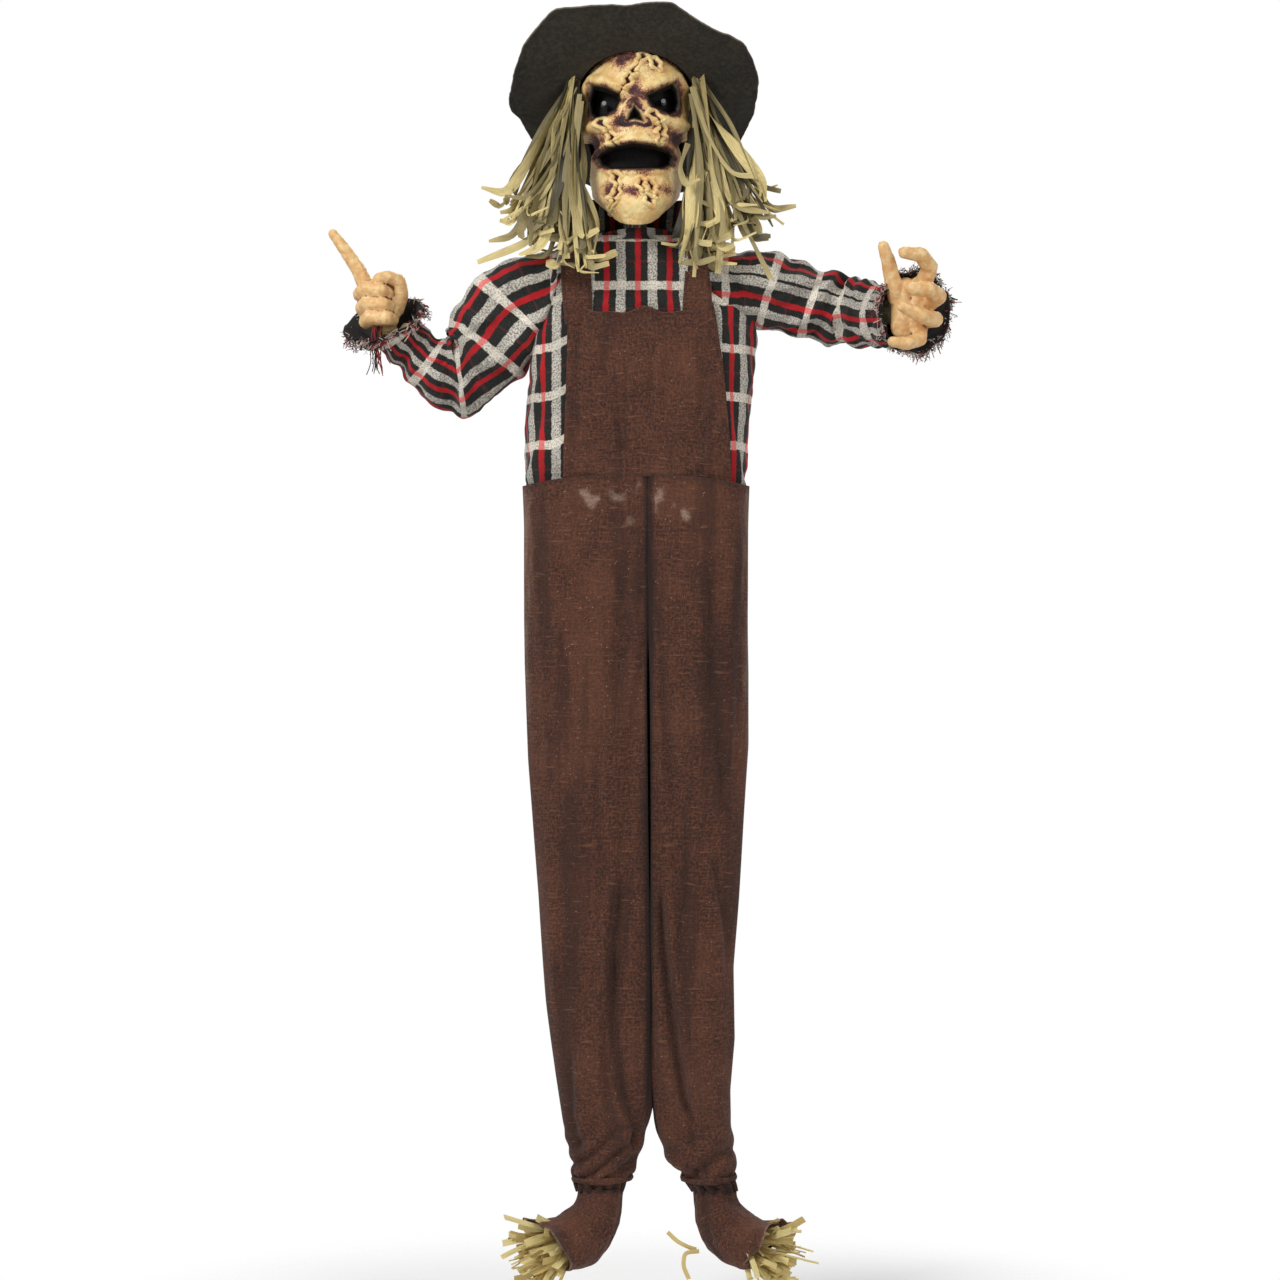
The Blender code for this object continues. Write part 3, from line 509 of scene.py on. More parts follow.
# Folds on the front of each leg, in millimetres: the line of (x, z) each follows, its height and its width.
# The last number is the side it laps to.
LEG_LAPS = {
    "left": [
        ([(-32, -740), (-28, -820), (-36, -930), (-40, -1000)], 9, 26, -1),
        ([(-48, -980), (-50, -1080), (-42, -1150), (-46, -1240)], 6.5, 12, 1),
        ([(-116, -1080), (-110, -1200), (-104, -1360)], 6.5, 20, -1),
        ([(-30, -1170), (-44, -1280), (-51, -1360), (-50, -1460)], 8.5, 12, -1),
        ([(-40, -1270), (-41, -1380), (-28, -1470), (-12, -1520), (-14, -1560)], 11.5, 11, -1),
        ([(-88, -1400), (-86, -1500), (-72, -1560)], 6.5, 14, 1),
        ([(-120, -660), (-124, -760), (-128, -880)], 3.5, 18, 1),
        ([(-75, -670), (-78, -740), (-70, -830)], 3, 20, -1)],
    "right": [
        ([(92, -740), (93, -900), (100, -970), (110, -1030), (118, -1100)], 10.5, 17, -1),
        ([(42, -760), (46, -930), (58, -1020), (62, -1100)], 6.5, 16, 1),
        ([(77, -1100), (78, -1200), (68, -1260), (72, -1300)], 7.5, 10, 1),
        ([(102, -1140), (120, -1240), (126, -1310)], 7.5, 10, -1),
        ([(40, -1190), (52, -1300), (66, -1400), (76, -1470), (92, -1520)], 14, 15, 1),
        ([(75, -1500), (74, -1560), (76, -1600)], 4, 10, -1),
        ([(128, -680), (130, -800), (134, -900)], 3.5, 16, -1),
        ([(60, -660), (64, -730), (70, -790)], 3.5, 14, 1)],
}


WAIST = -0.6495
LEG_TOP, LEG_END = -0.648, -1.612


def waist_line(x):
    """The height of the waist seam, higher at the middle."""
    return WAIST + 0.015 * np.clip(1 - (x / 0.150) ** 2, 0, 1)


def trouser_leg(side, material):
    """One side of the trousers, from the waist to the tied ankle, meeting the other along the middle seam."""
    table = LEG_TABLES[side]
    levels = np.linspace(LEG_TOP, LEG_END, 150 if FULL else 90)
    points = tube_from_rings(table, levels, 84)
    normal = outward(points)
    front = smooth(-0.1, -0.8, normal[..., 1])
    back = smooth(0.1, 0.8, normal[..., 1])
    lift = sum(lap(points, *fold) for fold in LEG_LAPS[side]) * front
    seed = 1.0 if side == "left" else 2.0
    hang = points * (1, 1, 0.16)
    lift = lift + 0.0045 * back * lumps(hang, 0.028, seed, 2) + 0.0015 * front * lumps(hang, 0.022, seed + 5, 2)
    # The tie gathers the cloth, and the pinch runs up from it.
    z = points[..., 2]
    turn = turns(points.shape[1])[None, :]
    gather = smooth(-1.555, -1.605, z)
    lift = lift + gather * 0.0028 * np.sin(turn * 13 + seed) * (1 + 0.5 * np.sin(turn * 5 + 1))
    slant = z * (95 if side == "left" else 60) - points[..., 0] * (70 if side == "left" else 22)
    pinch = smooth(-1.50, -1.545, z) * smooth(-1.606, -1.575, z)
    lift = lift + pinch * 0.0055 * np.sin(slant * 2.3 + 1.2 * np.sin(turn * 2)) * (0.45 + 0.55 * front)
    points = points + normal * lift[..., None]
    # The top is cut to the arched waist.
    top = smooth(-0.70, -0.648, z) * np.where(points[..., 1] < 0, 1.0, 0.35)
    points[..., 2] += top * (waist_line(points[..., 0]) - WAIST)
    obj = grid_cloth("trousers_" + side, points, material)
    middle = points.mean(axis=1, keepdims=True)
    wide = (points - middle) * (1, 1, 0) * (0.07 + 0.07 * smooth(-0.70, -0.95, z))[..., None]
    long = (points - points[:1]) * (0, 0, 1) * 0.012
    sewn = np.maximum(smooth(-0.662, -0.650, z), smooth(-1.596, -1.606, z))
    inner = smooth(0.012, 0.004, np.abs(points[..., 0] - 0.017)) * smooth(-1.25, -0.80, z)
    crumple(obj, wide, long, np.maximum(sewn, inner), limit=0.009)
    final = rest_points(obj).reshape(points.shape)
    # Neither side crosses the middle seam.
    x, y = final[..., 0], final[..., 1]
    seam_x = np.interp(final[..., 2], [-1.30, -0.76], [0.0200, 0.0155]) + 0.009 * smooth(-0.03, 0.03, y)
    gap = 0.0004 + 0.0030 * smooth(-0.80, -0.92, z) * smooth(-1.35, -1.05, z)
    x[:] = np.minimum(x, seam_x - gap) if side == "left" else np.maximum(x, seam_x + gap)
    set_points(obj, final)
    edge = table[4][1] if side == "left" else table[4][2]
    outer = smooth(0.030, 0.006, np.abs(x - edge)) * smooth(-1.15, -0.85, z)
    grain = 0.5 + 0.5 * lumps(final * (1, 1, 0.08), 0.004, seed, 2)
    # Painted shade: the fold valleys, the middle seam between the legs and the gathered cloth below the tie are
    # painted darker; the waist seam is darker too, and the outer sides are rubbed paler.
    valley_shade = np.clip(-lift / 0.005, 0, 1)
    wear_and_shade = 0.75 * outer * grain - 0.45 * valley_shade - 0.9 * smooth(0.010, 0.002, np.abs(x - 0.0175)) * front
    waist_seam = smooth(0.008, 0.001, np.abs(final[..., 2] - waist_line(x)))
    wear_and_shade = wear_and_shade - 0.7 * smooth(-1.592, -1.604, z) - 0.55 * waist_seam
    # Pale residue below the middle of the waist.
    below_waist = smooth(-0.650, -0.668, z) * smooth(-0.715, -0.690, z)
    residue = below_waist * front * smooth(0.15, 0.5, lumps(final, 0.026, 9.0, 3))
    wear_and_shade = wear_and_shade + 0.8 * residue * (np.abs(x) < 0.075)
    seam = np.abs(x - (0.004 if side == "left" else 0.031)) < 0.0006
    paint(obj, "wear_and_shade", wear_and_shade - 0.25 * seam * front)
    return thick_cloth(obj, 0.0014)


# The shirt's rings, as the trouser legs' are.
SHIRT_TABLE = [
    (-0.309, -0.075, 0.075, 0.046, 2.6, 2.6), (-0.318, -0.104, 0.108, 0.051, 2.6, 2.6),
    (-0.330, -0.124, 0.134, 0.055, 2.7, 2.7), (-0.345, -0.134, 0.150, 0.058, 2.8, 2.8),
    (-0.390, -0.142, 0.163, 0.063, 2.8, 2.8), (-0.440, -0.145, 0.167, 0.069, 2.9, 2.9),
    (-0.480, -0.148, 0.166, 0.072, 3, 3), (-0.520, -0.151, 0.163, 0.074, 3, 3),
    (-0.580, -0.156, 0.158, 0.074, 3, 3), (-0.625, -0.156, 0.154, 0.072, 3, 3),
    (-0.655, -0.147, 0.147, 0.068, 3, 3)]


def shirt(material):
    """The body of the shirt, with its opening over the sound box at the back."""
    levels = np.linspace(-0.309, -0.655, 100)
    points = tube_from_rings(SHIRT_TABLE, levels, 136)
    normal = outward(points)
    z = points[..., 2]
    x = points[..., 0]
    front = smooth(-0.3, -0.8, normal[..., 1])
    under_bib = smooth(0.132, 0.108, np.abs(x)) * front * smooth(-0.395, -0.415, z)
    side = smooth(0.5, 0.9, np.abs(normal[..., 0]))
    lift = 0.0035 * lumps(points * (1, 1, 0.35), 0.030, 3.0, 3) + 0.005 * side * lumps(points, 0.035, 4.0, 2)
    lift = lift * (1 - under_bib) * smooth(0.0, 0.02, np.abs(z + 0.309)) - 0.0045 * under_bib
    points = points + normal * lift[..., None]
    centre_x, centre_y, centre_z = np.moveaxis((points[1:] + points[:-1]) / 2, -1, 0)
    box_low, box_high = -0.566, -0.434
    keep = ~((np.abs(centre_x) < 0.048) & (centre_y > 0) & (centre_z > box_low) & (centre_z < box_high))
    ring = closed_ring(points)
    across = np.cumsum(np.linalg.norm(np.diff(ring, axis=1, prepend=ring[:, :1]), axis=2), axis=1)
    # The stripes are counted from one near the middle of the front.
    front_half = slice(10, 60)
    for r in range(len(ring)):
        across[r] -= np.interp(0.0027, ring[r, front_half, 0], across[r, front_half])
    down = -ring[..., 2] - 0.2887 - 0.0193 * smooth(0.070, 0.120, np.abs(ring[..., 0]))
    obj = grid_cloth("shirt_cloth", points, material, keep=keep, across=across, down=down)
    wide = (points - points.mean(axis=1, keepdims=True)) * (1, 1, 0) * 0.05
    long = (points - points[:1]) * (0, 0, 1) * 0.05
    at_box = (smooth(0.062, 0.050, np.abs(x)) * (points[..., 1] > 0)
              * smooth(-0.58, -0.57, z) * smooth(-0.42, -0.43, z))
    sewn = np.maximum.reduce([smooth(-0.318, -0.310, z), smooth(-0.640, -0.650, z), under_bib, at_box])
    crumple(obj, wide, long, sewn, limit=0.0055)
    # Painted shade: darker at the bottom, where the shirt goes into the trousers.
    paint(obj, "wear_and_shade", 0.25 * smooth(-0.64, -0.655, z))
    drop_loose(obj)
    return thick_cloth(obj, 0.0014)


def shirt_depth(x, z):
    """How far forward the shirt's front stands."""
    low, high, half, power, _ = along(SHIRT_TABLE, z)
    centre = (low + high) / 2
    share = np.clip(1 - np.abs((x - centre) / ((high - low) / 2)) ** power, 0.02, 1)
    return half * share ** (1 / power)


# The bib's sides: how far down each place is, from 0 to 1, and the left and right x there.
BIB_SIDES = [(0, -0.092, 0.105), (0.4, -0.094, 0.119), (0.75, -0.097, 0.127), (1, -0.099, 0.128)]
BIB_LAPS = [
    ([(31, -450), (26, -500), (24, -545)], 5.5, 10, 1),
    ([(-33, -548), (-25, -585), (-19, -615)], 4.8, 10, -1),
    ([(-10, -482), (-10, -550), (-8, -615)], 3.4, 6, 1),
    ([(78, -430), (88, -520), (80, -600)], 4.2, 18, -1),
    ([(-70, -430), (-74, -520), (-66, -600)], 4, 18, 1)]


def bib(material):
    """The bib of the overalls, sewn to the waist, with a wavy turned-over top edge."""
    rows, columns = 70, 76
    down = np.linspace(0, 1, rows)[:, None]
    left, right = (edge[:, None] for edge in along(BIB_SIDES, down[:, 0]))
    x = left + (right - left) * np.linspace(0, 1, columns)[None, :]
    top = -0.4095 + 0.0035 * np.sin(x * 62 + 0.8) + 0.0025 * np.sin(x * 128)
    top = top + 0.004 * smooth(0.05, 0.09, np.abs(x - 0.004))
    bottom = waist_line(x) - 0.003
    z = top + (bottom - top) * down
    y = -(shirt_depth(x.ravel(), z.ravel()).reshape(x.shape) + 0.0045)
    points = np.stack([x, y, z], axis=2)
    lift = sum(lap(points, *fold) for fold in BIB_LAPS)
    lift = lift + 0.0022 * lumps(points * (1, 1, 0.45), 0.026, 6.0, 3)
    hem = smooth(0.007, 0.0045, top - z) * 0.0012
    points[..., 1] -= lift + hem
    obj = grid_cloth("bib_cloth", points, material, closed=False)
    wide = (points - points.mean(axis=1, keepdims=True)) * (1, 0, 0) * 0.05
    long = (points - points[-1:]) * (0, 0, 1) * 0.03
    sides = [smooth(0.012, 0.004, away) * 0.9 for away in (x - left, right - x)]
    sewn = np.maximum.reduce([smooth(0.97, 1.0, down) + 0 * x, *sides])
    crumple(obj, wide, long, sewn, limit=0.003)
    # Painted shade in the fold valleys; a line below the turned top and the bottom at the waist seam are darker, and
    # the top edge is paler.
    wear_and_shade = -0.5 * smooth(0.0010, 0.0004, np.abs(top - z - 0.0075)) - 0.40 * np.clip(-lift / 0.003, 0, 1)
    wear_and_shade = wear_and_shade - 0.6 * smooth(0.006, 0.001, z - bottom)
    paint(obj, "wear_and_shade", wear_and_shade + 0.30 * smooth(0.003, 0.0, top - z))
    return thick_cloth(obj, 0.0016)


# The strap's line of (y, z), over the shoulder from the front to the back.
STRAP_LINE = metres([
    (-67, -432), (-65.5, -400), (-61, -370), (-56, -345), (-48, -324), (-36, -311), (0, -304.5), (36, -311),
    (48, -324), (59, -350), (67, -410), (74, -500), (74, -560), (71.5, -645)])


def strap(side, middle, material):
    """A strap, from the corner of the bib over the shoulder and down the back to the waist."""
    rows, columns = 110, 12
    line = np.array(STRAP_LINE)
    length = np.concatenate([[0], np.cumsum(np.hypot(*np.diff(line, axis=0).T))])
    at = np.linspace(0, length[-1], rows)
    y, z = (relax(np.interp(at, length, column)) for column in line.T)
    across = np.linspace(-1, 1, columns)
    half = 0.0195 + 0.0012 * np.sin(at * 45 + middle * 90)
    drift = 0.003 * np.sin(at * 21 + middle * 50)
    points = np.zeros((rows, columns, 3))
    points[..., 0] = middle + drift[:, None] + half[:, None] * across
    tangent = unit_rows(np.stack([np.gradient(y), np.gradient(z)], axis=1), tiny=0)
    out = np.stack([tangent[:, 1], -tangent[:, 0]], axis=1)
    out *= -np.sign(out[0, 0])
    curl = 0.0016 * (across ** 2)[None, :] + 0.0010 * np.sin(at * 130)[:, None] * across[None, :]
    points[..., 1] = y[:, None] - out[:, :1] * curl
    points[..., 2] = z[:, None] - out[:, 1:] * curl
    obj = grid_cloth("strap_cloth_" + side, points, material, closed=False)
    wear_and_shade = 0.25 * (np.abs(across) > 0.93)[None, :] - 0.5 * (np.abs(np.abs(across) - 0.80) < 0.05)[None, :]
    paint(obj, "wear_and_shade", np.repeat(wear_and_shade, rows, axis=0) + 0.2 * lumps(points, 0.02, 2.0))
    return thick_cloth(obj, 0.0022)


def collar(material):
    """The shirt's soft collar, crushed round the neck."""
    rows, columns = 26, 72
    turn = turns(columns, -math.pi)[None, :]
    level = np.linspace(0, 1, rows)[:, None]
    behind = smooth(0.25, -0.15, np.cos(turn))
    radius = 0.0620 + 0.0060 * behind * level + 0.0022 * np.sin(turn * 5 + level * 3) * level
    flare = 0.022 * smooth(0.60, 0.0, level) ** 2
    points = np.zeros((rows, columns, 3))
    points[..., 0] = np.sin(turn) * (radius + flare)
    points[..., 1] = -np.cos(turn) * (radius * (0.80 + 0.12 * behind) + flare * 0.1)
    points[..., 2] = -0.3150 + (0.014 + 0.046 * behind) * level + 0.003 * np.sin(turn * 3 + 1) * level
    across = 0.066 * np.linspace(-math.pi, math.pi, columns + 1)[None, :] - 0.0027 + 0 * level
    down = 0.018 - 0.050 * level + 0 * across
    obj = grid_cloth("collar_cloth", points, material, across=across, down=down)
    paint(obj, "wear_and_shade", 0.3 + 0 * points[..., 0])
    return thick_cloth(obj, 0.0016)


# ---------- arms ----------

# Each arm's middle line, from its root inside the shirt to the wrist. The shoulder, elbow and wrist are where the
# CAD's joints are. rim is the way the cuff's mouth faces. radii has places along the sleeve (0 at the root, 1 at the
# elbow, 2 at the wrist), and how tall and deep it is there.
ARMS = {
    "left": {
        "root": (-0.096, 0.0, -0.371), "shoulder": (-0.153, 0.0, -0.362), "elbow": (-0.246755, 0.0, -0.496183),
        "wrist": (-0.343421, -0.012236, -0.422766), "rim": (-0.38, -0.52, 0.76),
        "radii": [(0.0, 0.060, 0.046), (0.25, 0.071, 0.052), (0.50, 0.067, 0.052), (0.75, 0.062, 0.051),
                  (0.92, 0.052, 0.048), (1.00, 0.046, 0.045), (1.15, 0.045, 0.044), (1.35, 0.040, 0.041),
                  (1.60, 0.031, 0.034), (1.75, 0.032, 0.035), (1.92, 0.043, 0.043), (2.0, 0.050, 0.048)]},
    "right": {
        "root": (0.100, 0.0, -0.368), "shoulder": (0.168, 0.0, -0.362), "elbow": (0.289172, 0.0, -0.401406),
        "wrist": (0.374477, -0.088777, -0.416161), "rim": (0.52, -0.85, -0.10),
        "radii": [(0.0, 0.060, 0.046), (0.25, 0.077, 0.052), (0.45, 0.067, 0.052), (0.60, 0.057, 0.051),
                  (0.85, 0.051, 0.050), (1.00, 0.052, 0.046), (1.15, 0.051, 0.045), (1.50, 0.047, 0.043),
                  (1.75, 0.046, 0.043), (1.92, 0.054, 0.052), (2.0, 0.058, 0.056)]},
}


SLEEVE_COLUMNS = 64


def sleeve_rows(arm, count):
    """A tube that follows the arm and turns at the elbow as cloth does, and where along it each row is.

    Rows run from 0 at the body, past 1 at the elbow, to 2 at the wrist."""
    root, shoulder, elbow, wrist = (np.array(arm[key]) for key in ("root", "shoulder", "elbow", "wrist"))
    upper = unit(elbow - shoulder)
    fore = unit(wrist - elbow)
    bend = unit(np.cross(upper, fore))
    mitre = unit(upper + fore)
    length_up = np.linalg.norm(elbow - root)
    length_fore = np.linalg.norm(wrist - elbow)
    share = length_up / (length_up + length_fore)
    rows = np.linspace(0, 1, count)
    place = np.where(rows < share, rows / share, 1 + (rows - share) / (1 - share))
    tall, deep = along(arm["radii"], place)
    turn = turns(SLEEVE_COLUMNS)
    points = np.zeros((count, SLEEVE_COLUMNS, 3))
    for r, s in enumerate(place):
        if s < 1:
            straight = elbow - upper * (1 - s) * length_up
            joining = smooth(0.0, 0.5, s)
            centre = (root + (elbow - root) * s) * (1 - joining) + straight * joining
            direction = unit(unit(shoulder - root) * (1 - joining) + upper * joining)
            near = smooth(0.72, 1.0, s)
        else:
            centre = elbow + fore * (s - 1) * length_fore
            direction = fore
            near = smooth(1.36, 1.0, s)
        plane = unit(direction * (1 - near) + mitre * near)
        if s > 1.7:
            opening = smooth(1.7, 2.0, s)
            plane = unit(direction * (1 - opening) + unit(arm["rim"]) * opening)
        side = unit(np.cross(bend, direction))
        depth = unit(np.cross(direction, side))
        size = 1 - 0.26 * near ** 2
        ring = np.cos(turn)[:, None] * side * tall[r] * size + np.sin(turn)[:, None] * depth * deep[r]
        ring = ring - direction * ((ring @ plane) / (direction @ plane))[:, None]
        points[r] = centre + ring
    return points, place


def sleeve(side, flannel, lining, thread):
    """A sleeve of the shirt, in two pieces that meet halfway down the upper arm, with its lining and frayed cuff."""
    arm = ARMS[side]
    points, place = sleeve_rows(arm, 120)
    normal = outward(points)
    seed = 11.0 if side == "left" else 12.0
    level = place[:, None] + np.zeros(points.shape[:2])
    turn = turns(SLEEVE_COLUMNS)[None, :]
    creases = 0.7 * np.sin(level * 26 + 2.2 * np.sin(turn + seed)) * smooth(0.2, 0.5, level)
    scrunch = lumps(points, 0.024, seed, 3) + creases
    elbow = bell(level, 1.0, 0.16)
    lift = 0.0050 * scrunch * smooth(0.02, 0.2, level) * smooth(2.0, 1.85, level) * (1 + 0.6 * elbow)
    wave = np.sin(turn * 7 + seed) + 0.7 * np.sin(turn * 11 + 2)
    lift = lift + 0.0022 * wave * smooth(1.80, 2.0, level)
    points = points + normal * lift[..., None]
    obj = grid_cloth("sleeve_" + side, points, flannel)
    middle = points.mean(axis=1, keepdims=True)
    wide = (points - middle) * 0.08
    step = np.diff(points, axis=0, prepend=points[:1])
    long = np.cumsum(step, axis=0) * 0.22
    # The inside of the elbow stays tucked in.
    tucked = smooth(0.2, 0.8, np.cos(turn)) * bell(level, 1.0, 0.13)
    sewn = np.maximum.reduce([smooth(0.10, 0.02, level), smooth(1.93, 1.99, level), tucked])
    crumple(obj, wide, long, sewn, frames=30, limit=0.0130, stiff=10, bend=0.10)
    final = rest_points(obj).reshape(points.shape)
    bpy.data.objects.remove(obj)
    split = int(np.searchsorted(place, 0.56))
    across, down = cloth_coordinates(final)
    made = []
    for name, rows in (("sleeve_top_", slice(0, split + 1)), ("sleeve_low_", slice(split, len(place)))):
        piece = grid_cloth(name + side, final[rows], flannel, across=across[rows], down=down[rows])
        # Painted shade: darker at the root, where the sleeve goes into the shirt, with the fold valleys marked too;
        # the cuff's end is darker as well.
        edge = 0.9 * smooth(1.955, 1.975, level[rows]) - 0.3 * np.clip(-lift[rows] / 0.004, 0, 1)
        paint(piece, "wear_and_shade", np.clip(edge, -1, 1) + 0.35 * smooth(0.08, 0.0, level[rows]))
        made.append(thick_cloth(piece, 0.0014))
    inside = final[-26:] - outward(final)[-26:] * 0.0030
    inside[-1] += (inside[-1] - inside[-2]) * 0.9
    liner = grid_cloth("cuff_liner_" + side, inside, lining)
    paint(liner, "wear_and_shade", 0 * inside[..., 0])
    made.append(thick_cloth(liner, 0.0010))
    made.append(cuff_fringe(side, final, thread))
    return made


def cloth_coordinates(points):
    """Metres across and down the cloth at each point of a closed grid, its first column again after its last."""
    ring = closed_ring(points)
    step = np.linalg.norm(np.diff(ring, axis=1), axis=2).mean(axis=0)
    across = np.concatenate([[0], np.cumsum(step)]) - step.sum() / 2
    fall = np.linalg.norm(np.diff(points, axis=0), axis=2).mean(axis=1)
    down = np.concatenate([[0], np.cumsum(fall)])
    return np.repeat(across[None], len(points), axis=0), np.repeat(down[:, None], ring.shape[1], axis=1)


# How far apart the strips lie on the flat cloth of their material.
STRIP_APART = 0.013


def ribbons(name, strips, material, thick):
    """Flat strips in one mesh. Each has the points of its line, its width, the way it faces, and its tone.

    The width, facing and tone are one for the strip, or one for each of its points."""
    points, faces, cloth, tone_at = [], [], [], []
    for k, (line, widths, facings, tones) in enumerate(strips):
        line = np.asarray(line, float)
        count = len(line)
        run = unit_rows(np.gradient(line, axis=0))
        facing = np.broadcast_to(np.asarray(facings, float), line.shape)
        side = unit_rows(np.cross(run, facing))
        out = np.cross(side, run)
        width = np.broadcast_to(np.asarray(widths, float), (count,))[:, None] / 2
        length = running_length(line)
        base = len(points)
        corners = (side * width, out * thick, -side * width, -out * thick)
        for i in range(count):
            points.extend((line[i] + corner[i]).tolist() for corner in corners)
            tone_at.extend([float(np.broadcast_to(tones, (count,))[i])] * 4)
        half = float(width.mean())
        spread = (0.0, half, 2 * half, half, 0.0)
        for i in range(count - 1):
            for j in range(4):
                a = base + i * 4 + j
                b = base + i * 4 + (j + 1) % 4
                faces.append((a, b, b + 4, a + 4))
                for m, n in ((i, j), (i, j + 1), (i + 1, j + 1), (i + 1, j)):
                    cloth.append((spread[n] + k * STRIP_APART, float(length[m]), 0.0))
        for i, order in ((0, (3, 2, 1, 0)), (count - 1, (0, 1, 2, 3))):
            faces.append(tuple(base + i * 4 + j for j in order))
            cloth.extend([(k * STRIP_APART, float(length[i]), 0.0)] * 4)
    obj = mesh_object(name, points, faces, material)
    obj.data.shade_flat()
    paint(obj, "tone", tone_at)
    set_cloth_places(obj, cloth)
    return obj


def cuff_fringe(side, final, thread):
    """The frayed edge of the cuff: short loose threads, and a hank of dark ones left hanging at the left wrist."""
    rim = final[-1]
    outward_rim = outward(final)[-1]
    away = unit_rows(final[-1] - final[-2], tiny=0)
    threads = []
    for _ in range(420):
        i = int(rng.integers(len(rim)))
        start = rim[i] * 0.5 + rim[(i + 1) % len(rim)] * 0.5 + rng.normal(0, 0.0016, 3) - away[i] * 0.003
        reach = rng.uniform(0.004, 0.012)
        heading = away[i] * rng.uniform(0.0, 1.0) + outward_rim[i] * rng.uniform(-0.2, 0.9)
        heading = heading + rng.normal(0, 0.5, 3)
        t = np.linspace(0, 1, 7)[:, None]
        curl = np.sin(t * rng.uniform(3, 8) + rng.uniform(0, 6)) * rng.normal(0, 0.28, 3) * reach
        line = start + unit(heading) * t * reach + curl + (0, 0, -0.2) * t ** 2 * reach
        width = rng.uniform(0.0009, 0.0019)
        facing = unit(outward_rim[i] + rng.normal(0, 0.3, 3))
        threads.append((line, width, facing, rng.choice([0.05, 0.12, 0.5, 0.55, 0.95, 0.9, 1.0, 0.92])))
    if side == "left":
        for _ in range(26):
            start = np.array((-0.3535, -0.040, -0.434)) + rng.normal(0, (0.0035, 0.003, 0.003))
            t = np.linspace(0, 1, 9)[:, None]
            reach = rng.uniform(0.030, 0.062)
            drift = rng.normal(0, (0.006, 0.004, 0.0))
            sway = 0.0016 * np.sin(t * rng.uniform(4, 9) + rng.uniform(0, 6))
            line = start + np.array((0.004, -0.004, -1)) * t * reach + drift * t ** 2 + sway
            threads.append((line, 0.0012, (0, -1, 0), rng.choice([0.05, 0.1, 0.15, 0.5])))
    return ribbons("cuff_fringe_" + side, threads, thread, 0.0003)


# ---------- hands ----------

def add_sticks(points, faces, path, radii):
    """Adds tapered sticks with round ends, one between each two places, as closed pieces of the mesh."""
    rings, sides = 14, 14
    for (a, ra), (b, rb) in zip(zip(path, radii), zip(path[1:], radii[1:])):
        a, b = np.array(a, float), np.array(b, float)
        axis = b - a
        length = np.linalg.norm(axis)
        axis = axis / length
        side = unit(np.cross(axis, (0.3, 0.8, 0.52)))
        other = np.cross(axis, side)
        base = len(points)
        for i in range(rings + 1):
            t = i / rings
            if t < 0.25:
                angle = (t / 0.25 - 1) * math.pi / 2
                centre, radius = a + axis * ra * math.sin(angle), ra * math.cos(angle)
            elif t > 0.75:
                angle = (t - 0.75) / 0.25 * math.pi / 2
                centre, radius = b + axis * rb * math.sin(angle), rb * math.cos(angle)
            else:
                u = (t - 0.25) / 0.5
                centre, radius = a + axis * length * u, ra + (rb - ra) * u
            radius = max(radius, 1e-5)
            for j in range(sides):
                turn = 2 * math.pi * j / sides
                points.append(tuple(centre + radius * (math.cos(turn) * side + math.sin(turn) * other)))
        for i in range(rings):
            this, after = base + i * sides, base + (i + 1) * sides
            for j in range(sides):
                k = (j + 1) % sides
                faces.append((this + j, this + k, after + k, after + j))
        faces.append(tuple(base + j for j in reversed(range(sides))))
        faces.append(tuple(base + rings * sides + j for j in range(sides)))


def moulded_hand(side, start, chains, material):
    """A hand moulded in one piece from soft plastic, with ridged knuckles.

    Each chain has places from the start, and radii, in millimetres."""
    start = np.array(ARMS[side]["wrist"]) + start
    points, faces = [], []
    for places, radii in chains:
        add_sticks(points, faces, [start + metres(place) for place in places], metres(radii))
    obj = mesh_object(side + "_hand_skin", points, faces, material)
    remesh = obj.modifiers.new("skin", "REMESH")
    remesh.mode = "VOXEL"
    remesh.voxel_size = 0.0013
    obj.modifiers.new("soft", "SMOOTH").iterations = 3
    apply_modifiers(obj)
    co = rest_points(obj)
    normals = np.array([v.normal for v in obj.data.vertices])
    rough = lumps(co, 0.006, 3.0, 3) * 0.0005 + lumps(co * (0.4, 1, 1), 0.0035, 5.0, 2) * 0.0003
    set_points(obj, co + normals * rough[:, None])
    # Painted shade: the creases are marked for the material to darken.
    paint(obj, "wash_and_shade", hollowness(obj))
    obj.data.shade_smooth()
    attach(obj, "hand_" + side)
    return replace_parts(obj, "hand_" + side)


def hollowness(obj, passes=6):
    """About 1 in the creases of a mesh and 0 on its ridges."""
    mesh = obj.data
    co = rest_points(obj)
    normals = np.array([v.normal for v in mesh.vertices])
    edges = np.array([e.vertices[:] for e in mesh.edges])
    total = np.zeros(len(co))
    count = np.zeros(len(co)) + 1e-9
    step = co[edges[:, 1]] - co[edges[:, 0]]
    size = np.linalg.norm(step, axis=1) + 1e-9
    bend_a = (step * normals[edges[:, 0]]).sum(1) / size
    bend_b = -(step * normals[edges[:, 1]]).sum(1) / size
    for ends, bend in ((edges[:, 0], bend_a), (edges[:, 1], bend_b)):
        np.add.at(total, ends, bend)
        np.add.at(count, ends, 1)
    value = total / count
    for _ in range(passes):
        total = value.copy()
        count = np.ones(len(co))
        np.add.at(total, edges[:, 0], value[edges[:, 1]])
        np.add.at(total, edges[:, 1], value[edges[:, 0]])
        np.add.at(count, edges.ravel(), 1)
        value = total / count
    return smooth(0.01, 0.12, value)


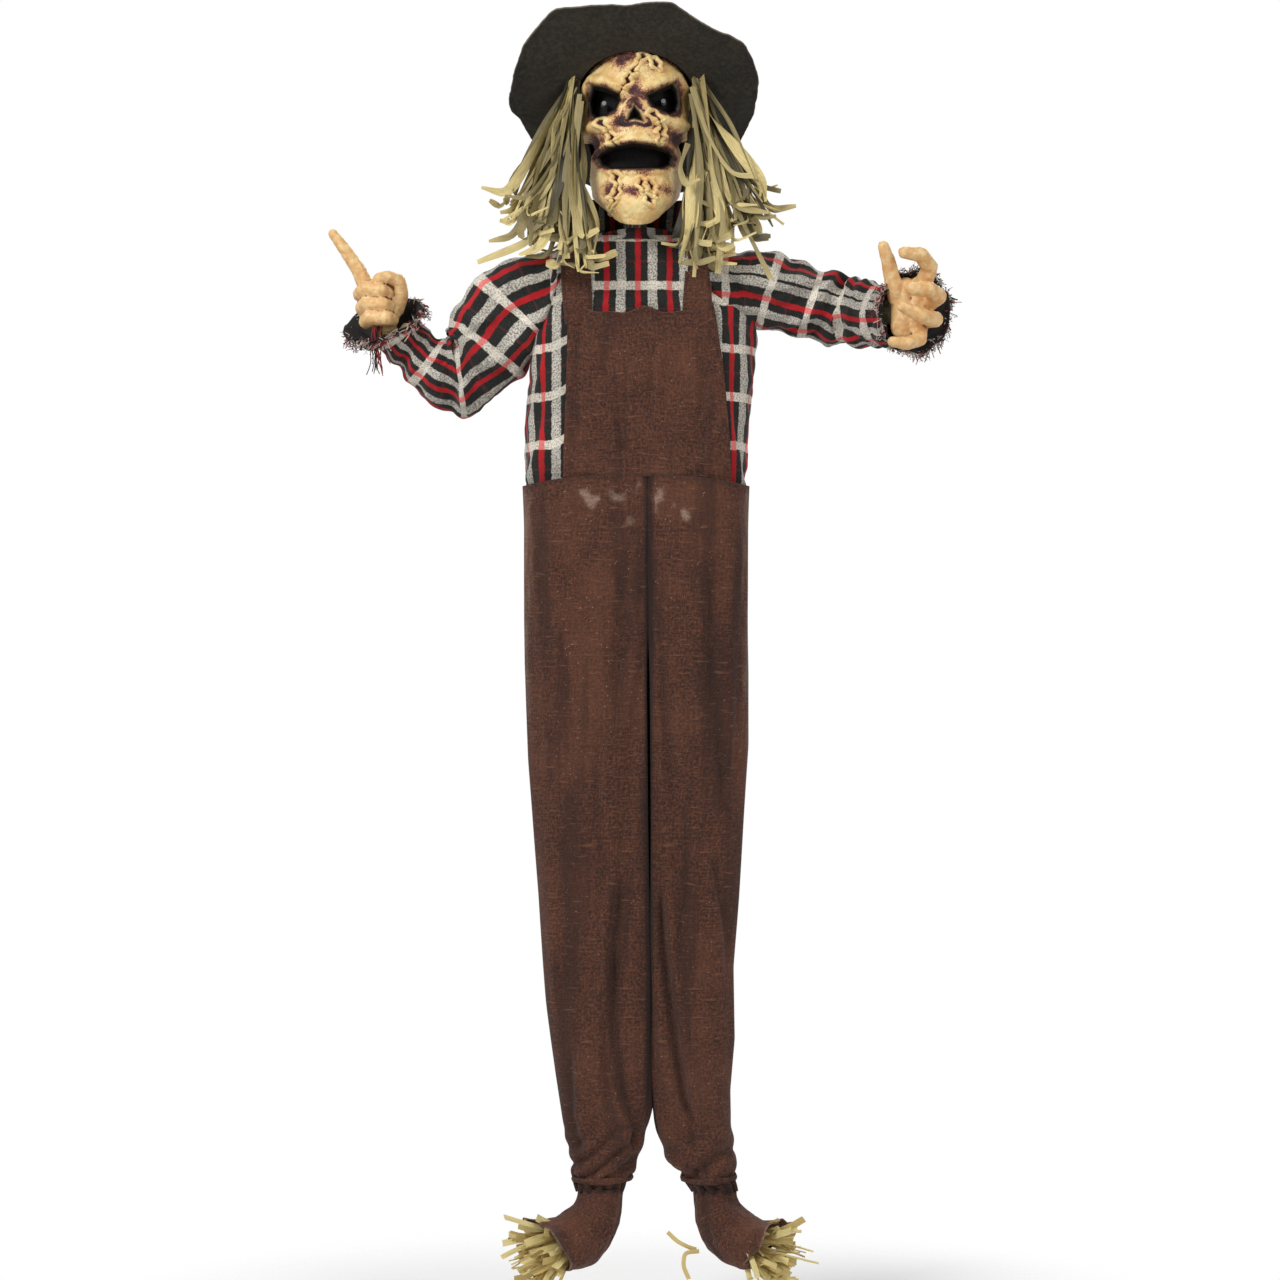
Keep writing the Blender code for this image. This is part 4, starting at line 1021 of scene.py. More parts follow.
# The left hand is a fist that points up and outwards: palm, three curled fingers, thumb, and the first finger.
LEFT_HAND = [
    ([(6, 8, -6), (0, 2, 14), (-4, 0, 34), (-5, 0, 48)], [16, 20, 23, 19]),
    ([(10, 2, 20), (13, 2, 46)], [17, 16]),
    ([(-17, 2, 20), (-18, 2, 44)], [15, 16]),
    ([(-28, -4, 44), (-20, -23, 49), (0, -27, 47), (8, -16, 45)], [10.8, 11.4, 10.8, 9.2]),
    ([(-25, -4, 25), (-17, -23, 30), (3, -27, 28), (11, -16, 26)], [10.8, 11.4, 10.8, 9.2]),
    ([(-20, -4, 7), (-12, -23, 12), (8, -27, 10), (16, -16, 8)], [10.8, 11.4, 10.8, 9.2]),
    ([(20, 4, 26), (27, -4, 44), (24, -12, 61), (11, -20, 66), (-2, -26, 63)], [12, 10.8, 10.2, 9.2, 8]),
    ([(-20, -4, 54), (-31, -7, 78), (-48, -8, 103), (-65, -9, 126)], [11.6, 10, 9, 6.8])]
# The right hand is an open claw, its fingers curled towards the body: palm, thumb, and four fingers.
RIGHT_HAND = [
    ([(10, 20, -4), (-4, -2, 4)], [17, 20]),
    ([(-7, -6, 28), (-10, -8, -20)], [19, 17]),
    ([(12, -10, 30), (8, -12, -18)], [18, 16]),
    ([(-18, -10, 20), (-26, -20, 46), (-31, -28, 66), (-38, -32, 86)], [13.5, 11, 10, 7.6]),
    ([(16, -18, 36), (24, -30, 58), (11, -46, 73), (-12, -56, 75)], [12, 11.2, 10.4, 8.2]),
    ([(24, -16, 12), (35, -34, 19), (20, -52, 27), (-2, -60, 26)], [12, 11.6, 11, 8.6]),
    ([(22, -16, -10), (31, -34, -12), (11, -54, -9), (-14, -60, 3)], [11.4, 11, 10.2, 7.8]),
    ([(12, -14, -24), (11, -30, -38), (-7, -46, -45), (-27, -50, -43)], [10.4, 9.6, 9, 7])]


# ---------- head ----------

# Rings of the mask and the hood, in millimetres: the height of the sides, the height of the middle, the half width,
# and the middle's y.
MASK_RINGS = metres([
    (-62, -62, 43, -78), (-84, -88, 63.5, -92), (-112, -116, 73.5, -98), (-145, -148, 76, -102),
    (-166, -172, 72, -104), (-182, -194, 61, -104), (-205, -226, 59, -103), (-228, -252, 61.5, -108),
    (-252, -272, 57.5, -109), (-274, -300, 29, -102)])
HOOD_RINGS = metres([
    (-62, -80, 40, 26), (-97, -112, 66, 48), (-147, -152, 74, 56), (-192, -192, 62, 51),
    (-222, -226, 57, 47), (-240, -262, 44, 42)])
# The mask's openings and cracks, as (x, z) seen from the front.
SOCKETS = metres([
    [(-57.6, -108), (-38.4, -113.9), (-20, -123.9), (-18.4, -132.2), (-25, -145.6), (-38.4, -153.9),
     (-54.3, -155.6), (-61.8, -147.3), (-64.3, -128.9)],
    [(48.4, -106.3), (13.4, -125.5), (16, -134), (21.7, -142.2), (45.1, -152.3), (56, -145.6), (58, -130),
     (55.1, -115.5)]])
NOSE = metres([
    (-2.5, -140), (-8.5, -150), (-12.5, -162.3), (-2, -160), (10.9, -163.1), (6, -150)])
MOUTH = metres([
    (-52, -204.5), (-46.3, -198.3), (-28.3, -193.8), (-2.6, -190.2), (23.1, -192.5), (43.6, -197.3),
    (49, -204.5), (47, -216.8), (35.9, -225.6), (-2.6, -227.6), (-30.9, -226.8), (-46.3, -219)])
CRACKS = metres([
    [(10, -72), (3, -85), (-8.3, -100.5)], [(-10, -105.2), (-15, -115), (-20.9, -125.5)],
    [(-43.4, -160.6), (-34, -174), (-26.7, -190.7)], [(20.1, -152.3), (33.4, -167.3), (28.4, -189)],
    [(-26.7, -234.1), (-23.4, -250.8), (-30, -274.2)], [(6.7, -242.4), (11.7, -260.8), (18.4, -269.2)],
    [(18.4, -244.1), (26.7, -262.5)], [(23, -80), (30, -90)]])


def inside_distance(x, z, polygon):
    """How far inside the polygon each point is; negative outside."""
    nearest = np.full(x.shape, 9.0)
    inside = np.zeros(x.shape, bool)
    for (ax, az), (bx, bz) in zip(polygon, polygon[1:] + polygon[:1]):
        nearest = np.minimum(nearest, line_distance(x, z, [(ax, az), (bx, bz)])[0])
        crosses = (az > z) != (bz > z)
        inside ^= crosses & (x < (bx - ax) * (z - az) / (bz - az + 1e-12) + ax)
    return np.where(inside, nearest, -nearest)


def line_distance(x, z, line):
    """How far each point is from the line, and how far along it the nearest place is."""
    best = np.full(x.shape, 9.0)
    place = np.zeros(x.shape)
    run = 0.0
    for (ax, az), (bx, bz) in zip(line, line[1:]):
        length = math.hypot(bx - ax, bz - az)
        t = np.clip(((x - ax) * (bx - ax) + (z - az) * (bz - az)) / length ** 2, 0, 1)
        d = np.hypot(x - ax - t * (bx - ax), z - az - t * (bz - az))
        place = np.where(d < best, run + t * length, place)
        best = np.minimum(best, d)
        run += length
    return best, place


def ridge(x, z, line, width, height):
    return height * bell(line_distance(x, z, line)[0], 0, width)


def blob(x, z, cx, cz, rx, rz, height):
    return height * np.exp(-((x - cx) / rx) ** 2 - ((z - cz) / rz) ** 2)


def half_shell(rings, rows, columns, edge_y, power=2.2):
    """A shell like half an egg. Each ring has the height of its sides and of its middle, half width, and middle y."""
    index = np.linspace(0, len(rings) - 1, rows)
    table = [(i, *ring) for i, ring in enumerate(rings)]
    values = relax(np.stack(along(table, index), axis=1), rows // 10)
    turn = np.linspace(-math.pi / 2, math.pi / 2, columns)[None, :]
    sides, middle, width, reach = (values[:, i:i + 1] for i in range(4))
    x = width * np.sign(np.sin(turn)) * np.abs(np.sin(turn)) ** (2 / power)
    y = edge_y + (reach - edge_y) * np.cos(turn) ** (2 / power)
    z = sides + (middle - sides) * np.cos(turn)
    return np.stack([x, y, z], axis=2)


# Ridges of the mask, in millimetres: the line of (x, z) of each, its width and its height.
MASK_RIDGES = [
    ([(-68, -115), (-58, -101.5), (-39, -107), (-18, -119)], 7.5, 7.5),
    ([(64, -112), (52, -99), (30, -109), (12, -121)], 7.5, 7.5),
    ([(-13, -126), (-18, -140), (-23, -152)], 4.5, 3.5),
    ([(9, -127), (15, -138), (18, -150)], 4.5, 3.5),
    ([(-17, -164), (-12, -142), (-1.5, -133), (10.5, -143), (15, -164)], 3.8, 5),
    ([(-30, -161), (-50, -163), (-70, -170)], 7, 8),
    ([(24, -157), (45, -159), (70, -164)], 7, 8)]
# Swellings and hollows, in millimetres: the middle (x, z), the half sizes, and the height.
MASK_BLOBS = [
    (-58.4, -186, 13, 11, -7), (55.1, -180, 12, 11, -7), (-1, -180, 40, 13, 6), (-69, -128, 10, 20, -4.5),
    (69, -126, 10, 20, -4.5), (-2, -120, 11, 15, -3), (0, -90, 34, 20, 4), (-1, -244, 40, 12, -3),
    (0, -275, 24, 16, 5), (-40, -248, 10, 16, 3.5), (40, -248, 10, 16, 3.5)]
# Small pits: the middle and the size, in millimetres.
MASK_PITS = [
    (-16.7, -184, 1.7), (16.7, -181.5, 1.7), (-40.1, -187.3, 1.5), (2, -96, 1.2), (-30, -87, 1.2), (42, -236, 1.3)]
# Where the brown paint is rubbed into the mask: the middle and the half sizes in millimetres, and how strong it is.
MASK_WASHES = [
    (-58.4, -187, 15, 11, 1.1), (55.1, -181, 14, 11, 1.1), (-1, -118, 11, 17, 1.0), (0, -72, 40, 12, 0.85),
    (-18, -86, 14, 11, 0.60), (15, -82, 16, 12, 0.60), (0, -179, 40, 13, 0.50), (-8.3, -257.5, 12, 8, 0.75),
    (-33.4, -255.8, 10, 9, 0.75), (36.8, -252.5, 11, 9, 0.75), (12, -244, 12, 14, 0.50), (-27, -242, 12, 12, 0.50),
    (-23, -162, 12, 6, 0.90), (23, -157, 12, 6, 0.80), (-33, -170, 20, 8, 0.50), (33, -168, 20, 8, 0.50)]


def mask(material):
    """The moulded skull face: open sockets, nose and mouth, heavy brows and cheekbones, and stitched cracks."""
    rows, columns = (340, 280) if FULL else (220, 180)
    points = half_shell(MASK_RINGS, rows, columns, -0.004)
    side = np.gradient(points, axis=1)
    down = np.gradient(points, axis=0)
    normal = unit_rows(np.cross(side, down))
    normal *= np.sign(-normal[rows // 2, columns // 2, 1])
    x, z = points[..., 0], points[..., 2]
    lift = np.zeros(x.shape)
    dark = np.zeros(x.shape)
    holes = []
    for polygon, depth in ((SOCKETS[0], 0.010), (SOCKETS[1], 0.010), (NOSE, 0.008), (MOUTH, 0.009)):
        d = inside_distance(x, z, polygon)
        holes.append(d)
        lift -= depth * smooth(-0.0008, 0.0042, d)
        # Painted shade: near black on the sunken walls round each opening.
        dark = np.maximum(dark, smooth(-0.0045, 0.0004, d) ** 1.5)
    socket = np.maximum(holes[0], holes[1])
    nose, mouth = holes[2:]
    lift -= 0.0045 * smooth(-0.013, -0.001, socket) * smooth(-0.108, -0.128, z)
    outside = smooth(0.001, -0.002, np.maximum.reduce(holes))
    relief = sum(ridge(x, z, *metres(entry)) for entry in MASK_RIDGES)
    relief += sum(blob(x, z, *metres(entry)) for entry in MASK_BLOBS)
    lip = line_distance(x, z, MOUTH + MOUTH[:1])[0]
    relief += 0.0028 * bell(lip, 0.0035, 0.0030) * smooth(0.002, -0.002, mouth)
    cracked = np.zeros(x.shape)
    lips = np.zeros(x.shape)
    for line in CRACKS:
        shift = 0.0014 * np.sin(z * 560 + line[0][0] * 300)
        d, place = line_distance(x + shift, z + 0.0006 * np.sin(x * 700), line)
        d = d / (1.0 + 0.35 * np.sin(place * 240 + 1))
        relief += 0.0030 * bell(d, 0.0044, 0.0014) - 0.0045 * bell(d, 0, 0.0021)
        stitch = smooth(0.80, 0.99, np.cos(place * 2 * math.pi / 0.0170 + 1.0)) * smooth(0.0072, 0.0056, d)
        relief += 0.0030 * stitch
        cracked = np.maximum(cracked, 1.5 * np.exp(-(d / 0.0027) ** 4) * (1 - 0.8 * stitch))
        lips = np.maximum(lips, bell(d, 0.0042, 0.0013))
    for px, pz, size in metres(MASK_PITS):
        relief += blob(x, z, px, pz, size, size, -0.0030)
        cracked = np.maximum(cracked, blob(x, z, px, pz, size, size, 1.0))
    broad = lumps(points, 0.016, 1.0, 3)
    fine = lumps(points, 0.0045, 2.0, 3)
    relief += 0.0011 * broad + 0.00045 * fine
    share = np.linspace(0, 1, rows)[:, None]
    edge = smooth(0.0, 0.06, share) * smooth(1.0, 0.985, share)
    points = points + normal * (relief * outside * (0.25 + 0.75 * edge))[..., None]
    points[..., 1] -= lift
    opening = np.maximum.reduce(holes)
    keep = (opening[1:, 1:] + opening[:-1, :-1]) / 2 < 0.0036
    obj = grid_cloth("skull_mask", points, material, closed=False, keep=keep)
    wash_and_shade = 0.85 * smooth(-0.012, -0.0005, socket) * outside + 0.75 * smooth(0.0080, 0.0005, lip) * outside
    for *place, strength in MASK_WASHES:
        wash_and_shade += blob(x, z, *metres(place), strength)
    wash_and_shade += 0.85 * smooth(-0.0105, -0.0060, nose) * smooth(-0.0015, -0.0045, nose)
    wash_and_shade += 0.25 * np.clip(-fine, 0, 1) - 0.35 * broad - 0.5 * smooth(0.060, 0.072, np.abs(x))
    wash_and_shade -= 90 * np.clip(relief - 0.0015, 0, 0.008) + 0.9 * lips
    wash_and_shade = np.maximum(wash_and_shade, cracked)
    paint(obj, "wash_and_shade", np.clip(wash_and_shade, 0, 1.3))
    paint(obj, "dark", dark)
    drop_loose(obj)
    thick_cloth(obj, 0.0020, 0)
    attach(obj, "head")
    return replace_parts(obj, "face_mask")


def hood(material):
    """The dark cloth hood that holds the mask on, drawn over the back of the head."""
    rows, columns = 80, 90
    points = half_shell(HOOD_RINGS, rows, columns, -0.002)
    normal = outward(points)
    normal *= np.sign(normal[rows // 2, columns // 2, 1])
    ripple = 0.0022 * lumps(points * (1, 1, 0.5), 0.02, 8.0, 3) + 0.0010 * lumps(points, 0.009, 9.0)
    points = points + normal * ripple[..., None]
    obj = grid_cloth("hood_cloth", points, material, closed=False)
    paint(obj, "wear_and_shade", 0 * points[..., 0])
    thick_cloth(obj, 0.0014)
    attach(obj, "head")
    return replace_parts(obj, "head_back")


# ---------- hat ----------

HAT_CENTRE = np.array((0.0, -0.008, -0.130))
HAT_TILT = math.radians(40)
HAT_FRONT = np.array((0.0, -math.cos(HAT_TILT), math.sin(HAT_TILT)))
HAT_UP = np.array((0.0, math.sin(HAT_TILT), math.cos(HAT_TILT)))
# The corners of the brim: degrees from the front towards +x, and how far out each is.
BRIM_CORNERS = [
    (-180, 0.166), (-150, 0.160), (-128, 0.157), (-111, 0.158), (-97, 0.161), (-91, 0.171), (-85, 0.175),
    (-67, 0.180), (-53, 0.190), (-32, 0.205), (-22, 0.194), (-10, 0.183), (-4, 0.177), (5, 0.184), (14, 0.193),
    (27, 0.184), (50, 0.188), (61, 0.181), (74, 0.174), (99, 0.163), (112, 0.160), (132, 0.170), (155, 0.164),
    (180, 0.166)]
# Pleats across the brim: which way each lies, its height, and how wide it is, in radians.
BRIM_PLEATS = [(1.25, 0.0045, 0.07), (1.42, -0.0040, 0.06), (0.75, 0.0035, 0.05), (-1.55, -0.0035, 0.06)]


def hat_point(x, forward, up):
    """A place on the hat: to its right, towards its front, and up from its brim."""
    sideways = np.stack([x, 0 * x, 0 * x], -1)
    return HAT_CENTRE + sideways + forward[..., None] * HAT_FRONT + up[..., None] * HAT_UP


def hat(material):
    """The hat in one soft piece: a floppy brim with a stitched, frayed edge, and a low crown with a hole behind."""
    turn = turns(300, -math.pi)
    brim_rows = 46
    corners = np.array([(r * math.sin(math.radians(a)), r * math.cos(math.radians(a))) for a, r in BRIM_CORNERS])
    angles = np.radians([a for a, r in BRIM_CORNERS])
    rim_x = np.interp(turn, angles, corners[:, 0])
    rim_f = np.interp(turn, angles, corners[:, 1])
    for _ in range(2):
        rim_x = (np.roll(rim_x, 1) + 2 * rim_x + np.roll(rim_x, -1)) / 4
        rim_f = (np.roll(rim_f, 1) + 2 * rim_f + np.roll(rim_f, -1)) / 4
    base_x = 0.0855 * np.sin(turn)
    base_f = 0.1035 * np.cos(turn)
    wave = 0.0075 * np.cos(3 * turn + 0.6) + 0.0030 * np.sin(7 * turn + 1.0) - 0.004 * np.cos(2 * turn)
    pleats = sum(height * bell(turn, way, width) for way, height, width in BRIM_PLEATS)
    rows = []
    for s in np.linspace(1, 0, brim_rows):
        x = base_x + (rim_x - base_x) * s
        f = base_f + (rim_f - base_f) * s
        rows.append(hat_point(x, f, (wave + pleats) * s ** 1.5))
    for s in np.linspace(0, 1, 30)[1:]:
        shrink = 1 - 0.06 * s - 0.28 * smooth(0.45, 1.0, s)
        dent = -0.006 * smooth(0.7, 1.0, s) * np.cos(turn) ** 2
        rows.append(hat_point(base_x * shrink, base_f * shrink, 0.070 * s ** 0.9 + dent + 0 * turn))
    top = rows[-1]
    hole = hat_point(0.013 * np.sin(turn), 0.013 * np.cos(turn) - 0.045, 0.074 + 0 * turn)
    for s in np.linspace(0, 1, 16)[1:]:
        rise = 0.005 * math.sin(math.pi * s)
        rows.append(top * (1 - s) + hole * s + HAT_UP * rise)
    points = np.array(rows)
    normal = outward(points)
    ripple = 0.0022 * lumps(points, 0.045, 21.0, 2) + 0.0003 * lumps(points, 0.008, 22.0, 2)
    points = points + normal * ripple[..., None]
    points[0] += rng.normal(0, 0.0003, points[0].shape)
    obj = grid_cloth("felt_hat", points, material)
    share = np.zeros(points.shape[:2])
    share[:brim_rows] = np.linspace(1, 0, brim_rows)[:, None]
    stitched = 0.9 * smooth(0.975, 1.0, share) - 0.7 * bell(share, 0.925, 0.012)
    paint(obj, "wear_and_shade", stitched + 0.25 * lumps(points, 0.03, 23.0))
    thick_cloth(obj, 0.0022, 1 if FULL else 0)
    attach(obj, "head")
    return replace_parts(obj, "hat_crown", "hat_brim")


# ---------- hair ----------

# Strands that stand out: their points and their widths, in millimetres.
HAIR_LEFT = [
    ([(-80, -60, -110), (-104, -70, -160), (-140, -80, -240), (-158, -84, -316)], 4),
    ([(-78, -60, -130), (-96, -86, -200), (-124, -96, -262), (-179, -94, -293)], 8),
    ([(-76, -60, -140), (-100, -90, -240), (-138, -100, -322), (-213, -92, -350)], 13),
    ([(-74, -70, -130), (-82, -96, -220), (-75, -104, -300), (-67, -102, -359)], 9),
    ([(-78, -66, -130), (-94, -96, -230), (-96, -104, -300), (-92, -100, -346)], 11),
    ([(-76, -66, -120), (-88, -94, -220), (-82, -106, -310), (-77, -104, -364)], 7)]
HAIR_RIGHT = [
    ([(76, -66, -110), (96, -92, -180), (128, -104, -236), (170, -100, -234), (167, -92, -262)], 8),
    ([(78, -60, -110), (108, -80, -190), (150, -92, -262), (199, -90, -299)], 9),
    ([(78, -60, -120), (112, -88, -230), (150, -98, -310), (181, -92, -371)], 11),
    ([(74, -70, -120), (88, -98, -220), (82, -106, -310), (78, -102, -371)], 10),
    ([(70, -90, -190), (58, -112, -226), (66, -114, -250), (86, -106, -240)], 9),
    ([(76, -66, -110), (104, -92, -200), (118, -106, -290), (110, -100, -366)], 12)]


def curve_through(points, count):
    """A smooth line through the points."""
    points = np.array(points, float)
    at = np.linspace(0, len(points) - 1, count)
    line = np.stack([np.interp(at, range(len(points)), column) for column in points.T], axis=1)
    return relax(line, count // 5)


def raffia(side, material):
    """The hair at one side of the face: bent flat strips of raffia, tied under the hat and lying on the chest."""
    sign = -1 if side == "left" else 1
    strips = []
    t = np.linspace(0, 1, 26)
    for points, width in HAIR_LEFT if side == "left" else HAIR_RIGHT:
        wide = width / 1000 * (1 - 0.35 * t ** 3) * (0.8 + 0.25 * np.sin(t * 9 + width))
        tone = 0.45 + 0.15 * math.sin(width) + 0.45 * t ** 1.5
        strips.append((curve_through(metres(points), len(t)), wide, unit((0.15 * sign, -1, 0.1)), tone))
    t = np.linspace(0, 1, 22)
    for _ in range(96 if FULL else 74):
        spread = rng.beta(1.3, 1.8)
        start = (sign * rng.uniform(0.078, 0.090), rng.uniform(-0.052, -0.020), rng.uniform(-0.132, -0.090))
        reach = rng.uniform(0.50, 1.0)
        end_x = sign * (0.060 + 0.125 * spread + rng.uniform(-0.010, 0.012))
        end_z = -0.375 + 0.075 * spread + (1 - reach) * 0.13
        depth = -0.100 + rng.uniform(-0.010, 0.008) + 0.045 * spread * rng.random()
        middle = np.array((sign * (0.078 + 0.050 * spread), depth + 0.016, (start[2] + end_z) / 2 + 0.01))
        end = np.array((end_x, depth, end_z))
        points = [start, middle + rng.normal(0, 0.006, 3), end]
        kink = rng.random()
        if kink < 0.60:
            points.insert(2, middle * 0.4 + end * 0.6 + rng.normal(0, (0.014, 0.003, 0.010)))
        if kink > 0.45:
            points.append(end + (sign * rng.uniform(-0.035, 0.040), -0.004, rng.uniform(-0.012, 0.016)))
        wide = rng.choice([0.0040, 0.0080, 0.0115, 0.0140, 0.0165])
        wide = wide * (0.85 + 0.25 * np.sin(t * rng.uniform(5, 14) + rng.uniform(0, 6))) * (1 - 0.5 * t ** 6)
        twist = np.sin(t * rng.uniform(1, 6) + rng.uniform(0, 6)) * 1.15
        facing = np.stack([np.sin(twist), -np.cos(twist), 0.15 + 0 * t], axis=1)
        tone = np.clip(rng.normal(0.28, 0.34) + 0.42 * t ** 1.5, 0, 1)
        strips.append((curve_through(points, len(t)), wide, facing, tone))
    obj = ribbons("raffia_hair_" + side, strips, material, 0.0004)
    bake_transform(obj)
    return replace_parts(obj, "hair_" + side, "hair_tips_" + side)


# ---------- feet ----------

# The foot, from the ankle to the toes, in millimetres: outwards, forwards, up; then the half width and half height.
FOOT_LINE = metres([
    (0, 0, 16, 30, 27.5), (0, 0, 0, 31.5, 29), (3, 2, -18, 33, 32.5), (16, 10, -40, 36, 40),
    (34, 20, -51, 38, 40), (52, 29, -55, 38, 35), (68, 36, -54, 40, 33), (82, 43, -52, 45, 33)])
ANKLE = {"left": (-0.049, 0.0, -1.623), "right": (0.108, 0.0, -1.623)}
BAND_HEIGHT = -1.594
LOWEST_STRAW = -1.728
# Two strands that have slipped out of the right foot, in millimetres.
STRAYS = metres([
    [(82, -30, -1688), (71, -34, -1684), (56, -36, -1676), (43, -32, -1664)],
    [(86, -32, -1690), (66, -42, -1690), (64, -44, -1708), (72, -44, -1726)]])


def ankle_band(side, leg, material):
    """The tie: a narrow strip of the trousers' cloth, wound tightly round the gathered ankle."""
    near = rest_points(leg)
    near = near[np.abs(near[:, 2] - BAND_HEIGHT) < 0.008]
    centre = (near.min(axis=0) + near.max(axis=0)) / 2
    rows, columns = 11, 72
    turn = turns(columns)
    angle = np.arctan2(near[:, 1] - centre[1], near[:, 0] - centre[0])
    reach = np.hypot(near[:, 0] - centre[0], near[:, 1] - centre[1])
    apart = [np.abs((angle - a + math.pi) % (2 * math.pi) - math.pi) for a in turn]
    reached = [reach[gap < 0.16] for gap in apart]
    radius = np.array([0.6 * found.max() + 0.4 * found.mean() for found in reached])
    for _ in range(6):
        radius = (np.roll(radius, 1) + radius + np.roll(radius, -1)) / 3
    level = np.linspace(-1, 1, rows)[:, None]
    points = np.zeros((rows, columns, 3))
    points[..., 2] = BAND_HEIGHT + (0.0042 + 0.0008 * np.sin(turn * 3)) * level + 0.0016 * np.sin(turn + 1)
    points[..., 0] = centre[0] + np.cos(turn) * radius
    points[..., 1] = centre[1] + np.sin(turn) * radius
    out = np.stack([np.cos(turn), np.sin(turn), 0 * turn], axis=1)
    swell = 0.0008 + 0.0014 * (1 - level ** 2) + 0.0008 * lumps(points * (1, 1, 3), 0.010, 41.0, 2)
    points = points + out * swell[..., None]
    obj = grid_cloth("ankle_band_" + side, points, material)
    paint(obj, "wear_and_shade", -0.30 + 0.25 * lumps(points, 0.012, 42.0, 2))
    thick_cloth(obj, 0.0012)
    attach(obj, "leg_" + side)
    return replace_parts(obj, "ankle_tie_" + side)


def foot(side, cloth, straw_material):
    """A stuffed cloth foot, open at the toes, with straw sticking out of it."""
    sign = -1 if side == "left" else 1
    ankle = np.array(ANKLE[side])
    table = np.array(FOOT_LINE)
    rows, columns = 64, 64
    at = np.linspace(0, len(table) - 1, rows)
    values = relax(np.stack([np.interp(at, range(len(table)), column) for column in table.T], axis=1), 30)
    centres = ankle + values[:, :3] * (sign, -1, 1)
    run = unit_rows(np.gradient(centres, axis=0), tiny=0)
    turn = turns(columns)
    points = np.zeros((rows, columns, 3))
    across = unit((0.46 * sign, 0.84, 0.0))
    for r in range(rows):
        wide = unit(across - run[r] * (across @ run[r]))
        tall = np.cross(wide, run[r])
        # Upwards where the foot lies flat, and outwards where it hangs.
        tall *= np.sign((tall[2] if abs(tall[2]) > 0.2 else tall[0] * sign) + 1e-9)
        ring = np.cos(turn)[:, None] * wide * values[r, 3] + np.sin(turn)[:, None] * tall * values[r, 4]
        points[r] = centres[r] + ring
    level = np.linspace(0, 1, rows)[:, None] + np.zeros((1, columns))
    up = np.sin(turn)[None, :]
    seed = 31.0 if side == "left" else 32.0
    normal = outward(points)
    lift = 0.0040 * lumps(points, 0.022, seed, 3) * smooth(0.02, 0.2, level)
    lift = lift + 0.0020 * np.sin(turn * 11 + seed)[None, :] * smooth(0.16, 0.02, level)
    lift = lift + 0.004 * np.sin(turn * 5 + seed)[None, :] * smooth(0.80, 1.0, level)
    points = points + normal * lift[..., None]
    flap = smooth(0.70, 1.0, level)
    points[..., 0] += sign * flap * 0.012 * smooth(-0.2, 0.9, up) - sign * 0.030 * flap * smooth(0.3, -0.7, up)
    points[..., 2] += flap * 0.006 * np.sin(turn * 3 + seed)[None, :]
    obj = grid_cloth("foot_cloth_" + side, points, cloth)
    middle = points.mean(axis=1, keepdims=True)
    long = np.cumsum(np.diff(points, axis=0, prepend=points[:1]), axis=0) * 0.08
    sewn = np.maximum(smooth(0.08, 0.02, level), smooth(0.96, 1.0, level))
    crumple(obj, (points - middle) * 0.06, long, sewn, limit=0.005, bend=0.2)
    # Painted shade: darker at the ankle end, where the foot goes in under the trousers, and in the fold valleys; the
    # open toe end is rubbed paler.
    valley_shade = np.clip(-lift / 0.004, 0, 1)
    paint(obj, "wear_and_shade", 0.5 * smooth(0.94, 1.0, level) - 0.7 * smooth(0.10, 0.0, level) - 0.35 * valley_shade)
    thick_cloth(obj, 0.0016)
    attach(obj, "foot_" + side)
    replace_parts(obj, "foot_" + side)
    strands = []
    forward = unit((0.84 * sign, -0.46, -0.28))
    mouth = ankle + (sign * 0.050, -0.028, -0.056)
    for _ in range(120 if FULL else 80):
        offset = rng.normal(0, 1, 2)
        offset /= max(1.0, np.linalg.norm(offset))
        height = np.array((0, 0, 1)) * (offset[1] * 0.015 - 0.004)
        start = mouth + across * offset[0] * 0.021 + height - forward * 0.01
        heading = unit(forward + rng.normal(0, 0.22, 3) + np.array((0, 0, offset[1] * 0.25 - 0.10)))
        reach = rng.uniform(0.055, 0.092) * (1 - 0.25 * abs(offset[0]))
        t = np.linspace(0, 1, 8)[:, None]
        bend = rng.normal(0, 0.25, 3)
        line = start + heading * t * reach + bend * t ** 2 * reach * 0.6
        line[:, 2] = np.maximum(line[:, 2], LOWEST_STRAW + rng.uniform(0, 0.006))
        width = rng.choice([0.0025, 0.0045, 0.0075, 0.0105])
        facing = unit((0.2, -1, 0.5) + rng.normal(0, 0.5, 3))
        strands.append((line, width, facing, np.clip(rng.normal(0.58, 0.34), 0, 1)))
    if side == "right":
        strands.extend((curve_through(stray, 16), 0.0058, (0, -1, 0), 0.6) for stray in STRAYS)
    straw = ribbons("foot_straw_strands_" + side, strands, straw_material, 0.0005)
    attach(straw, "foot_" + side)
    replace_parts(straw, "foot_straw_" + side)
    return obj, straw


# ---------- finishes ----------

